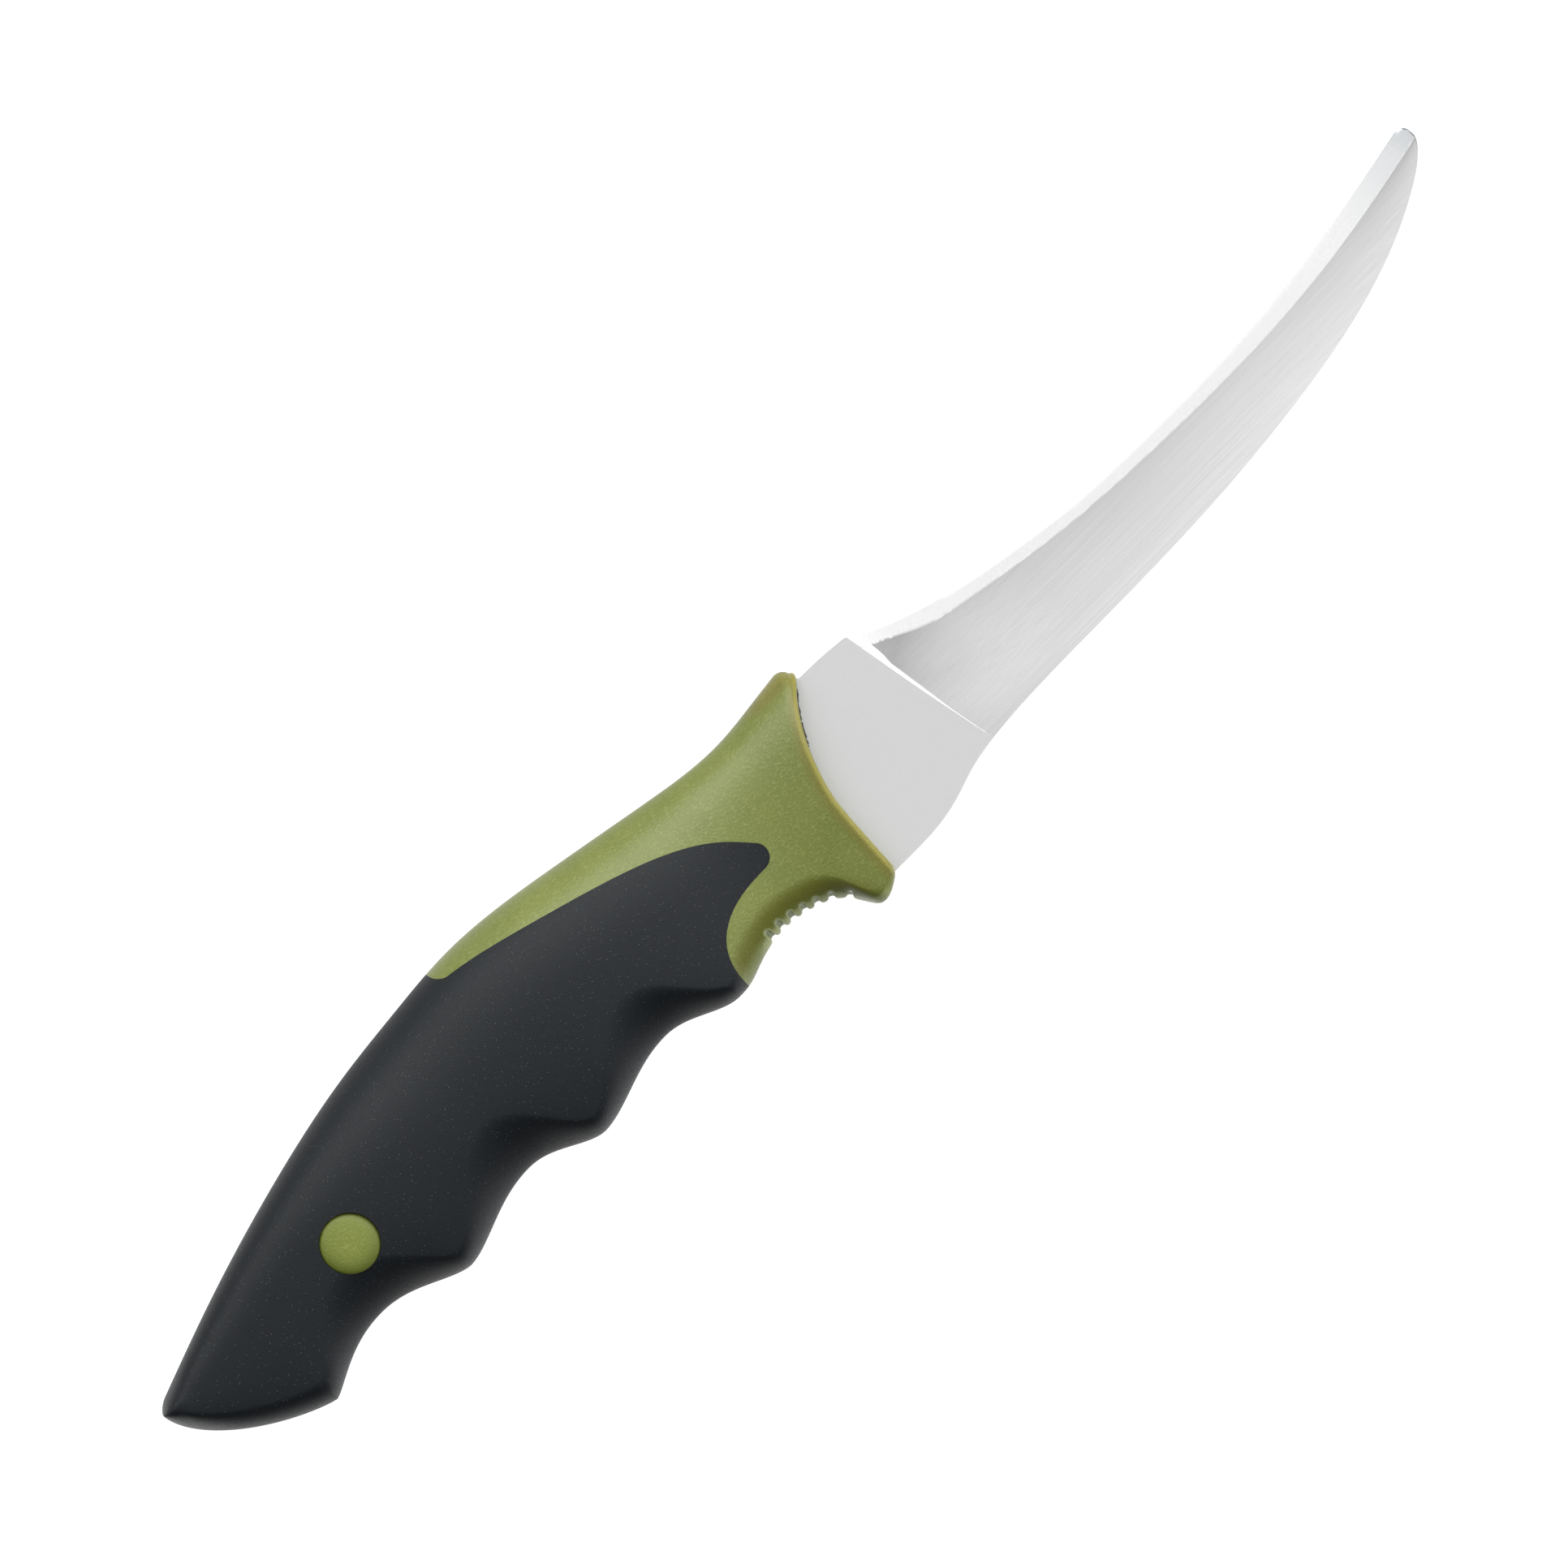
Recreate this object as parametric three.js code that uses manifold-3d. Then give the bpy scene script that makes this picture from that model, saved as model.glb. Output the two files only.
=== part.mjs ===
// Gutting knife: a blade hollow along its cutting edge and blunt at its tip, whose tang is moulded into a
// handle of two materials. The hard core shows at the bolster, in the index groove and along the back. The
// soft grip is moulded round the rest of it, and a round badge sits in a window in the grip's upper side.
//
// Millimetres. The knife lies on its side: X runs along it to the tip, Y across it to the cutting edge and
// the handle's back, Z through its thickness. Places are measured from the datum at the middle of the
// bolster's front: lengths along X, behind it in the handle and ahead of it in the blade, heights and
// depths along Y.
import * as THREE from "three";
import { mergeVertices } from "three/addons/utils/BufferGeometryUtils.js";
import Module from "manifold-3d";

// Blade
const BLADE_LENGTH = 110.2;
const BLADE_THICKNESS = 3;
const BLADE_CHAMFER = 0.3;
const RICASSO_LENGTH = 13;
const RICASSO_HEIGHT = 13.5;
const RICASSO_DEPTH = 13;
const EDGE_START_HEIGHT = 13.05;
const EDGE_LOW_HEIGHT = 3.8;
const SPINE_DEPTH = 8.9;
const TIP_HEIGHT = 8.8;
const TIP_ROUND = 1.4;
const TIP_THICKNESS = 0.9;
const TIP_BLUNT_LENGTH = 4.9;
const BEVEL_WIDTH_HEEL = 2.65;
const BEVEL_WIDTH_MIDDLE = 1.95;
const BEVEL_WIDTH_TIP = 2.75;
const SHOULDER_THICKNESS = 1.3;
const SPINE_TIP_THICKNESS = 1.6;
const EDGE_THICKNESS = 0.1;
const PLUNGE_WIDTH = 1.2;
const PLUNGE_LEAN = 4.3;
const PLUNGE_FADE = 21.5;

// Tang
const TANG_LENGTH = 82;
const TANG_THICKNESS = 2.8;
const TANG_ROOT_HEIGHT = 12;
const TANG_END_HEIGHT = 8;
const TANG_ROOT_PLACE = 1;
const TANG_END_PLACE = 3.6;
const LOCK_HOLE_DIAMETER = 5;
const FRONT_LOCK_HOLE = 27;
const REAR_LOCK_HOLE = 64;

// Outline of the handle
const FIRST_CREST = 29.3;
const FINGER_PITCH = 24.3;
const BUTT_LENGTH = 17.5;
const CREST_DEPTH = 10.3;
const FRONT_GROOVE_DEPTH = 3.2;
const MIDDLE_GROOVE_DEPTH = 3.6;
const REAR_GROOVE_DEPTH = 3.85;
const FINGER_GROOVES = [
  { depth: FRONT_GROOVE_DEPTH, floor: 0.42, front: 0.9, rear: 0.88 },
  { depth: MIDDLE_GROOVE_DEPTH, floor: 0.42, front: 0.86, rear: 0.82 },
  { depth: REAR_GROOVE_DEPTH, floor: 0.51, front: 0.8, rear: 0.64 },
];
const BUTT_CURVE = { hollow: 0.62, round: 1.2 };
const HEEL_HEIGHT = 3.9;
const HEEL_ROUND = 1.8;
const BACK_HEIGHT = 20.4;
const WAIST_HEIGHT = 14.6;
const HORN_HEIGHT = 15.8;
const HORN_PLACE = 3;
const HORN_ROUND = 1.7;
const INDEX_PLACE = 18.7;
const INDEX_DEPTH = 8.2;
const GUARD_PLACE = 7.2;
const GUARD_DEPTH = 14.8;
const GUARD_FRONT_DEPTH = 12.9;
const FACE_FOOT = 3.4;
const FACE_REACH = 5.2;
const FACE_ROUND = 0.7;

// Thickness and section of the handle; a section's roundness is the power of its superellipse
const HANDLE_THICKNESS = 24.6;
const WAIST_THICKNESS = 16.2;
const BOLSTER_THICKNESS = 18;
const BUTT_THICKNESS = 19.4;
const BUTT_END_THICKNESS = 13.6;
const BUTT_ROUND = 4;
const BACK_ROUNDNESS = 2.4;
const GROOVE_ROUNDNESS = 2.15;
const CREST_ROUNDNESS = 3.4;
const BUTT_ROUNDNESS = 5;

// Jimping of the index groove
const JIMP_COUNT = 7;
const JIMP_START = 20.7;
const JIMP_PITCH = 1.74;
const JIMP_DIAMETER = 0.95;
const JIMP_DRAFT = 0.35;
const JIMP_SINK = 0.5;

// Soft grip and the strip of the core along the back
const GRIP_WALL = 2.2;
const BACK_WALL = 1.5;
const BUTT_WALL = 8;
const STRIP_LENGTH = 53.4;
const STRIP_END_DEPTH = 2.3;
const NOSE_PLACE = 15.2;
const NOSE_HEIGHT = 0.95;
const NOSE_RADIUS = 1.9;
const NOSE_TURN = 50;
const SCALLOP_SETBACK = 1.9;
const SCALLOP_CURVE = 0.8;

// Badge
const BADGE_DIAMETER = 7.9;
const BADGE_PLACE = 87;
const BADGE_HEIGHT = 2.7;
const BADGE_DOME = 0.4;
const BADGE_EDGE_ROUND = 0.25;
const BADGE_SEAT_DEPTH = 0.4;
const BADGE_SPIGOT_DIAMETER = 4;
const BADGE_SPIGOT_LENGTH = 2.5;

// Clearances
const SHOULDER_GAP = 0.3;
const SLOT_GAP = 0.2;
const SEAM_GAP = 0.2;
const BADGE_GAP = 0.2;

// Finish of the surfaces
const STEEL = { color: 0xd6d6d4, metalness: 1, roughness: 0.32 };
const HARD_GREEN = { color: 0x9aa36c, metalness: 0, roughness: 0.55 };
const SOFT_BLACK = { color: 0x303436, metalness: 0, roughness: 0.85 };
const BADGE_GREEN = { color: 0x8a9450, metalness: 0, roughness: 0.5 };

// How finely curves are divided
const SECTION_POINTS = 32;
const CORE_POINTS = 16;
const CORE_RINGS = 24;
const GROOVE_STEPS = 9;
const INDEX_STEPS = 11;
const GUARD_STEPS = 8;
const BLADE_STEPS = 34;
const EDGE_STEPS = 38;
const LINE_STEPS = 12;
const ARC_STEPS = 5;
const ROUND_STEPS = 3;
const CIRCLE_POINTS = 24;

const { lerp, clamp, smoothstep } = THREE.MathUtils;
const point = (x, y) => new THREE.Vector2(x, y);

// Natural cubic spline through points [x, y] in order of x, as a function of x.
function spline(points) {
  const last = points.length - 1;
  const run = (i) => points[i + 1][0] - points[i][0];
  const slope = (i) => (points[i + 1][1] - points[i][1]) / run(i);
  const bend = new Array(last + 1).fill(0);
  const ratio = new Array(last + 1).fill(0);
  for (let i = 1; i < last; i++) {
    const pivot = 2 * (run(i - 1) + run(i)) - run(i - 1) * ratio[i - 1];
    ratio[i] = run(i) / pivot;
    bend[i] = (6 * (slope(i) - slope(i - 1)) - run(i - 1) * bend[i - 1]) / pivot;
  }
  for (let i = last - 1; i > 0; i--) bend[i] -= ratio[i] * bend[i + 1];
  return (x) => {
    let i = 0;
    while (i < last - 1 && x > points[i + 1][0]) i++;
    const step = run(i);
    const ahead = (x - points[i][0]) / step;
    const behind = 1 - ahead;
    const sag = (behind ** 3 - behind) * bend[i] + (ahead ** 3 - ahead) * bend[i + 1];
    return behind * points[i][1] + ahead * points[i + 1][1] + (sag * step ** 2) / 6;
  };
}

// Values from start to end in equal steps, both ends included.
function steps(start, end, count) {
  return Array.from({ length: count + 1 }, (_, i) => lerp(start, end, i / count));
}

// Lines of the handle's side view
const lastCrest = -FIRST_CREST - FINGER_GROOVES.length * FINGER_PITCH;
const heel = lastCrest - BUTT_LENGTH;
const heelToBack = (share) => lerp(HEEL_HEIGHT, BACK_HEIGHT, share);
const backToWaist = (share) => lerp(BACK_HEIGHT, WAIST_HEIGHT, share);
const backLine = spline([
  [heel, heelToBack(0.055)],
  [0.877 * heel, heelToBack(0.379)],
  [0.752 * heel, heelToBack(0.6515)],
  [0.6015 * heel, heelToBack(0.885)],
  [0.518 * heel, heelToBack(0.954)],
  [0.434 * heel, BACK_HEIGHT],
  [0.301 * heel, backToWaist(0.293)],
  [0.167 * heel, backToWaist(0.784)],
  [0.071 * heel, WAIST_HEIGHT],
  [0, lerp(WAIST_HEIGHT, HORN_HEIGHT, 0.7)],
  [HORN_PLACE, HORN_HEIGHT],
]);

// Height of the back at x, rounded off at the heel and over the horn in front.
function back(x) {
  if (x > HORN_PLACE) {
    const ahead = Math.min(x - HORN_PLACE, 0.95 * HORN_ROUND);
    return HORN_HEIGHT - HORN_ROUND + Math.sqrt(HORN_ROUND ** 2 - ahead ** 2);
  }
  const ahead = clamp((x - heel) / HEEL_ROUND, 0, 1);
  return lerp(HEEL_HEIGHT, backLine(x), Math.sqrt(1 - (1 - ahead) ** 2));
}

// Share of the way from the floor (0) to the crest (1) inside the finger grooves, and the groove's depth. A
// groove's floor is given as a share of the pitch behind its front crest, its two flanks as powers.
function fingerWave(x) {
  const behind = clamp((-FIRST_CREST - x) / FINGER_PITCH, 0, FINGER_GROOVES.length - 1e-9);
  const groove = FINGER_GROOVES[Math.floor(behind)];
  const along = behind % 1;
  const front = along < groove.floor;
  const rise = front ? along / groove.floor : (1 - along) / (1 - groove.floor);
  const flank = front ? groove.front : groove.rear;
  return { crest: Math.cos((Math.PI / 2) * rise ** flank) ** 2, depth: groove.depth };
}

const indexToGuard = (share) => -lerp(INDEX_DEPTH, GUARD_DEPTH, share);
const indexRun = (share) => -lerp(INDEX_PLACE, GUARD_PLACE, share);
const indexLine = spline([
  [-FIRST_CREST, -CREST_DEPTH],
  [-lerp(FIRST_CREST, INDEX_PLACE, 0.2), -lerp(CREST_DEPTH, INDEX_DEPTH, 0.07)],
  [-lerp(FIRST_CREST, INDEX_PLACE, 0.5), -lerp(CREST_DEPTH, INDEX_DEPTH, 0.56)],
  [-INDEX_PLACE, -INDEX_DEPTH],
  [indexRun(0.41), indexToGuard(0.13)],
  [indexRun(0.583), indexToGuard(0.258)],
  [indexRun(0.757), indexToGuard(0.53)],
  [indexRun(0.85), indexToGuard(0.79)],
  [indexRun(0.92), indexToGuard(0.95)],
  [-GUARD_PLACE, -GUARD_DEPTH],
  [-lerp(GUARD_PLACE, FACE_FOOT, 0.6), -lerp(GUARD_DEPTH, GUARD_FRONT_DEPTH, 0.45)],
  [-FACE_FOOT, -GUARD_FRONT_DEPTH],
]);

// Height of the slanting butt at x.
function buttLine(x) {
  const along = clamp((x - heel) / BUTT_LENGTH, 0, 1);
  return lerp(-CREST_DEPTH, HEEL_HEIGHT, (1 - along ** BUTT_CURVE.hollow) ** BUTT_CURVE.round);
}

// Height of the underside at x: the slanting butt, the finger grooves, then the index groove and the guard.
function belly(x) {
  if (x < lastCrest) return buttLine(x);
  if (x > -FIRST_CREST) return indexLine(Math.min(x, -FACE_FOOT));
  const { crest, depth } = fingerWave(x);
  return -CREST_DEPTH + depth * (1 - crest);
}

// Height at which the handle is thickest.
const middle = (x) => (back(x) + buttLine(x)) / 2;

const halfWaist = WAIST_THICKNESS / 2;
const swell = (share) => lerp(halfWaist, HANDLE_THICKNESS / 2, share);
const fall = (share) => lerp(BUTT_THICKNESS / 2, HANDLE_THICKNESS / 2, share);
const thicknessLine = spline([
  [heel, fall(0)],
  [0.877 * heel, fall(0.45)],
  [0.735 * heel, fall(0.8)],
  [0.518 * heel, fall(1)],
  [0.334 * heel, swell(0.83)],
  [0.217 * heel, swell(0.42)],
  [0.105 * heel, halfWaist],
  [0.02 * heel, BOLSTER_THICKNESS / 2],
]);

// Half of the thickness at x, rounded off in plan at the butt.
function halfThickness(x) {
  const ahead = clamp((x - heel) / BUTT_ROUND, 0, 1);
  return thicknessLine(x) * lerp(BUTT_END_THICKNESS / BUTT_THICKNESS, 1, Math.sqrt(1 - (1 - ahead) ** 2));
}

// Roundness of the lower half of the section: tight at the crests and the butt, full in the grooves.
function bellyRoundness(x) {
  if (x < lastCrest) return lerp(BUTT_ROUNDNESS, CREST_ROUNDNESS, (x - heel) / BUTT_LENGTH);
  const crest = x > -FIRST_CREST ? 1 - smoothstep(x, -FIRST_CREST, -INDEX_PLACE) : fingerWave(x).crest;
  return lerp(GROOVE_ROUNDNESS, CREST_ROUNDNESS, crest);
}

// The bolster's hollow front in side view: x at a height.
const faceRun = spline([
  [0, 0],
  [0.26, 0.042],
  [0.48, 0.126],
  [0.64, 0.287],
  [0.79, 0.527],
  [0.893, 0.766],
  [0.97, 0.965],
  [1.02, 1],
  [1.1, 1],
]);

function bolsterFace(y) {
  const share = clamp((y + RICASSO_DEPTH) / (RICASSO_DEPTH + HORN_HEIGHT - HORN_ROUND), 0, 1.1);
  return lerp(-FACE_FOOT, FACE_REACH, faceRun(share));
}

// Closed solid through rings of equally many points, its ends closed by the triangles given for one ring.
function loft(rings, capTriangles) {
  const count = rings[0].length;
  const faces = [];
  for (let first = 0; first < (rings.length - 1) * count; first += count) {
    for (let i = 0; i < count; i++) {
      const next = (i + 1) % count;
      faces.push(first + i, first + count + i, first + next);
      faces.push(first + next, first + count + i, first + count + next);
    }
  }
  const end = (rings.length - 1) * count;
  for (const [a, b, c] of capTriangles) {
    faces.push(a, b, c);
    faces.push(end + a, end + c, end + b);
  }
  const geometry = new THREE.BufferGeometry().setFromPoints(rings.flat());
  geometry.setIndex(faces);
  return geometry;
}

// Cap of a ring that starts at its top and is alike on both sides: strips from side to side.
function stripCap(count) {
  const triangles = [];
  for (let i = 0; i < count / 2; i++) {
    if (i > 0) triangles.push([i, i + 1, count - i]);
    if (i + 1 < count / 2) triangles.push([i + 1, count - i - 1, (count - i) % count]);
  }
  return triangles;
}

// Cap of a ring whose last point sees all the others.
function fanCap(count) {
  return Array.from({ length: count - 2 }, (_, i) => [count - 1, i, i + 1]);
}

// Solids for joining and cutting
const wasm = await Module();
wasm.setup();

function solid(geometry) {
  const bare = new THREE.BufferGeometry();
  bare.setAttribute("position", geometry.getAttribute("position"));
  bare.setIndex(geometry.getIndex());
  const merged = mergeVertices(bare, 1e-4);
  return new wasm.Manifold(new wasm.Mesh({
    numProp: 3,
    vertProperties: new Float32Array(merged.getAttribute("position").array),
    triVerts: new Uint32Array(merged.getIndex().array),
  }));
}

function geometryOf(body) {
  const { vertProperties, triVerts } = body.getMesh();
  const geometry = new THREE.BufferGeometry();
  geometry.setAttribute("position", new THREE.BufferAttribute(vertProperties, 3));
  geometry.setIndex(new THREE.BufferAttribute(triVerts, 1));
  const faceted = geometry.toNonIndexed();
  faceted.computeVertexNormals();
  return faceted;
}

// A flat shape made a plate of the given thickness, centred on the middle plane, its edges chamfered.
function plate(points, thickness, chamfer = 0) {
  const geometry = new THREE.ExtrudeGeometry(new THREE.Shape(points), {
    depth: thickness - 2 * chamfer,
    bevelEnabled: chamfer > 0,
    bevelThickness: chamfer,
    bevelSize: chamfer,
    bevelOffset: -chamfer,
    bevelSegments: 1,
  });
  return geometry.translate(0, 0, chamfer - thickness / 2);
}

// A round bar through the thickness, centred at a place of the side view.
function crossBar(diameter, length, place, z = 0) {
  const bar = new THREE.CylinderGeometry(diameter / 2, diameter / 2, length, CIRCLE_POINTS);
  return bar.rotateX(Math.PI / 2).translate(place.x, place.y, z);
}

// The same closed geometry on the other side of the middle plane.
function otherSide(geometry) {
  const mirrored = geometry.clone().scale(1, 1, -1);
  const order = mirrored.getIndex().array;
  for (let i = 0; i < order.length; i += 3) [order[i], order[i + 1]] = [order[i + 1], order[i]];
  return mirrored;
}

// Lines of the blade's side view
const groundLength = BLADE_LENGTH - RICASSO_LENGTH;
const ground = (share) => RICASSO_LENGTH + share * groundLength;
const ricassoToSpine = (share) => -lerp(RICASSO_DEPTH, SPINE_DEPTH, share);
const tipFoot = TIP_HEIGHT - 1.75 * TIP_ROUND;
const spineToTip = (share) => lerp(-SPINE_DEPTH, tipFoot, share);
const lowerLine = spline([
  [-FACE_FOOT, ricassoToSpine(0)],
  [0.2 * RICASSO_LENGTH, ricassoToSpine(0.01)],
  [0.56 * RICASSO_LENGTH, ricassoToSpine(0.15)],
  [0.93 * RICASSO_LENGTH, ricassoToSpine(0.54)],
  [ground(0.05), ricassoToSpine(0.79)],
  [ground(0.17), ricassoToSpine(0.95)],
  [ground(0.34), spineToTip(0)],
  [ground(0.485), spineToTip(0.034)],
  [ground(0.65), spineToTip(0.141)],
  [ground(0.79), spineToTip(0.314)],
  [ground(0.895), spineToTip(0.542)],
  [ground(0.957), spineToTip(0.755)],
  [BLADE_LENGTH, spineToTip(1)],
]);
const heelToLow = (share) => lerp(EDGE_LOW_HEIGHT, EDGE_START_HEIGHT, share);
const lowToTip = (share) => lerp(EDGE_LOW_HEIGHT, TIP_HEIGHT, share);
const edgeLine = spline([
  [ground(0), heelToLow(1)],
  [ground(0.031), heelToLow(0.806)],
  [ground(0.072), heelToLow(0.627)],
  [ground(0.154), heelToLow(0.373)],
  [ground(0.278), heelToLow(0.137)],
  [ground(0.345), heelToLow(0.046)],
  [ground(0.42), heelToLow(0.011)],
  [ground(0.54), lowToTip(0)],
  [ground(0.71), lowToTip(0.135)],
  [ground(0.875), lowToTip(0.575)],
  [ground(0.985), lowToTip(1)],
]);
const bevelWidth = spline([
  [ground(0), BEVEL_WIDTH_HEEL],
  [ground(0.4), BEVEL_WIDTH_MIDDLE],
  [ground(1), BEVEL_WIDTH_TIP],
]);

// Outline of the blank ahead of the bolster: along the spine, round the tip, back along the edge, down the
// shoulders.
function blankOutline() {
  const outline = [];
  const foot = bolsterFace(-RICASSO_DEPTH) + SHOULDER_GAP;
  for (const x of steps(foot, ground(0.05), LINE_STEPS)) outline.push(point(x, lowerLine(x)));
  for (const share of steps(0, 1, BLADE_STEPS).slice(1)) {
    const x = lerp(ground(0.05), BLADE_LENGTH, share ** 0.7);
    outline.push(point(x, lowerLine(x)));
  }
  const tip = point(BLADE_LENGTH - TIP_ROUND, TIP_HEIGHT - TIP_ROUND);
  for (const turn of steps(0, Math.PI / 2, ARC_STEPS)) {
    outline.push(point(tip.x + TIP_ROUND * Math.cos(turn), tip.y + TIP_ROUND * Math.sin(turn)));
  }
  for (const x of steps(tip.x, RICASSO_LENGTH, EDGE_STEPS).slice(1)) outline.push(point(x, edgeLine(x)));
  for (const y of steps(RICASSO_HEIGHT, -RICASSO_DEPTH, LINE_STEPS).slice(0, -1)) {
    outline.push(point(bolsterFace(y) + SHOULDER_GAP, y));
  }
  return outline;
}

// One ring of the steel that is ground away above one side, across the blade from beyond the edge to beyond
// the spine: the bevel falls from the shoulder to the edge, the flank from the spine to the shoulder.
function grindRing(x, depth) {
  const over = BLADE_THICKNESS;
  const top = 2 * BLADE_THICKNESS;
  const lean = PLUNGE_LEAN * clamp(1 - (x - RICASSO_LENGTH) / PLUNGE_FADE, 0, 1);
  const edge = point(x, edgeLine(x));
  const spine = point(x + lean, lowerLine(Math.min(x + lean, BLADE_LENGTH)));
  const across = edge.clone().sub(spine);
  const width = across.length();
  across.normalize();
  const along = clamp((x - RICASSO_LENGTH) / groundLength, 0, 1);
  const bevel = Math.min(bevelWidth(x), 0.9 * width);
  const blunt = smoothstep(x, BLADE_LENGTH - TIP_BLUNT_LENGTH, BLADE_LENGTH - TIP_ROUND / 2);
  const edgeHalf = lerp(EDGE_THICKNESS, TIP_THICKNESS, blunt) / 2;
  const shoulderHalf = SHOULDER_THICKNESS / 2;
  const spineHalf = lerp(BLADE_THICKNESS, SPINE_TIP_THICKNESS, along ** 3) / 2;
  const bevelFall = (shoulderHalf - edgeHalf) / bevel;
  const flankRise = (spineHalf - shoulderHalf) / (width - bevel);
  const face = (height) => lerp(BLADE_THICKNESS / 2 + EDGE_THICKNESS, height, depth);
  const at = (reach, z) => new THREE.Vector3(spine.x + reach * across.x, spine.y + reach * across.y, z);
  return [
    at(width + over, face(edgeHalf - over * bevelFall)),
    at(width - bevel, face(shoulderHalf)),
    at(-over, face(spineHalf + over * flankRise)),
    at(-over, top),
    at(width + over, top),
  ];
}

// Outline of the tang, grown all round for the slot that takes it.
function tangOutline(front, grow = 0) {
  const rootHalf = TANG_ROOT_HEIGHT / 2 + grow;
  const endHalf = TANG_END_HEIGHT / 2 + grow;
  const outline = [point(front, TANG_ROOT_PLACE - rootHalf), point(front, TANG_ROOT_PLACE + rootHalf)];
  const round = TANG_END_HEIGHT / 2 + grow;
  for (const turn of steps(Math.PI / 2, 1.5 * Math.PI, 2 * ARC_STEPS)) {
    const x = -TANG_LENGTH - grow + round + round * Math.cos(turn);
    outline.push(point(x, TANG_END_PLACE + endHalf * Math.sin(turn)));
  }
  return outline.toReversed();
}

function lockHoles() {
  return [FRONT_LOCK_HOLE, REAR_LOCK_HOLE].map((place) => {
    const height = lerp(TANG_ROOT_PLACE, TANG_END_PLACE, place / TANG_LENGTH);
    return point(-place, height);
  });
}

// The blade: a chamfered blank with a tang, its edge side ground on both faces, two lock holes in the tang.
function makeBlade() {
  const plungeEnd = RICASSO_LENGTH + PLUNGE_WIDTH;
  const stations = steps(0, 1, BLADE_STEPS).map((share) => lerp(plungeEnd, BLADE_LENGTH, share ** 1.15));
  const rings = [grindRing(RICASSO_LENGTH, 0)];
  for (const x of stations) rings.push(grindRing(x, 1));
  rings.push(grindRing(BLADE_LENGTH + BLADE_THICKNESS, 1));
  const grind = loft(rings, fanCap(rings[0].length));
  const root = RICASSO_LENGTH / 2;
  let blade = solid(plate(blankOutline(), BLADE_THICKNESS, BLADE_CHAMFER));
  blade = blade.add(solid(plate(tangOutline(root), TANG_THICKNESS, BLADE_CHAMFER)));
  blade = blade.subtract(solid(grind)).subtract(solid(otherSide(grind)));
  for (const place of lockHoles()) {
    blade = blade.subtract(solid(crossBar(LOCK_HOLE_DIAMETER, 2 * TANG_THICKNESS, place)));
  }
  return geometryOf(blade);
}

// One ring of the handle. Its place is given on the datum line; towards the front the rings take on the
// hollow of the bolster's face. It is drawn in from the outer surface by the walls given.
function handleRing(place, points, sideWall = 0, backWall = sideWall, bellyWall = sideWall) {
  const front = bolsterFace(0);
  const follow = smoothstep(place, -NOSE_PLACE, front - FACE_ROUND);
  const bent = (y) => place + follow * (bolsterFace(y) - front);
  let high = back(place);
  let low = belly(place);
  for (let pass = 0; pass < 8; pass++) {
    high = back(bent(high));
    low = belly(bent(low));
  }
  const centre = middle(place);
  const above = high - backWall - centre;
  const below = centre - low - bellyWall;
  const half = halfThickness(place) - sideWall;
  const powerOf = (value, power) => Math.sign(value) * Math.abs(value) ** (2 / power);
  return Array.from({ length: points }, (_, i) => {
    const turn = Math.PI / 2 + (2 * Math.PI * i) / points;
    const upper = 4 * i <= points || 4 * i >= 3 * points;
    const roundness = upper ? BACK_ROUNDNESS : bellyRoundness(place);
    const sine = Math.abs(Math.sin(turn)) < 1e-9 ? 0 : Math.sin(turn);
    const cosine = Math.abs(Math.cos(turn)) < 1e-9 ? 0 : Math.cos(turn);
    const y = centre + (upper ? above : below) * powerOf(sine, roundness);
    return new THREE.Vector3(bent(y), y, half * powerOf(cosine, roundness));
  });
}

// Places of the rings from the heel to the bolster's face, closer where the outline turns quickly.
function ringPlaces() {
  const shares = [0.006, 0.02, 0.05, 0.1, 0.17, 0.27, 0.4, 0.56, 0.74, 0.9];
  const butt = shares.map((share) => heel + share * BUTT_LENGTH);
  const grooves = steps(lastCrest, -FIRST_CREST, GROOVE_STEPS * FINGER_GROOVES.length);
  const index = steps(-FIRST_CREST, indexRun(0.6), INDEX_STEPS).slice(1);
  const guard = steps(indexRun(0.6), bolsterFace(0) - FACE_ROUND, GUARD_STEPS).slice(1);
  return [...butt, ...grooves, ...index, ...guard];
}

// The whole outer form of the handle, both materials together.
function handleForm() {
  const front = bolsterFace(0);
  const rings = ringPlaces().map((place) => handleRing(place, SECTION_POINTS));
  for (const turn of steps(0, Math.PI / 2, ROUND_STEPS).slice(1)) {
    const inset = FACE_ROUND * (1 - Math.cos(turn));
    rings.push(handleRing(front - FACE_ROUND * (1 - Math.sin(turn)), SECTION_POINTS, inset));
  }
  return loft(rings, stripCap(SECTION_POINTS));
}

// The body of the core under the soft grip, reaching forward into the bolster; grown by a gap it cuts the
// grip.
function coreForm(gap) {
  const front = -NOSE_PLACE + 2 * NOSE_RADIUS;
  const rings = steps(heel + BUTT_WALL - gap, front, CORE_RINGS).map((place) => {
    const slant = place < lastCrest ? Math.SQRT2 : 1;
    return handleRing(place, CORE_POINTS, GRIP_WALL - gap, BACK_WALL - gap, slant * GRIP_WALL - gap);
  });
  return loft(rings, stripCap(CORE_POINTS));
}

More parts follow.
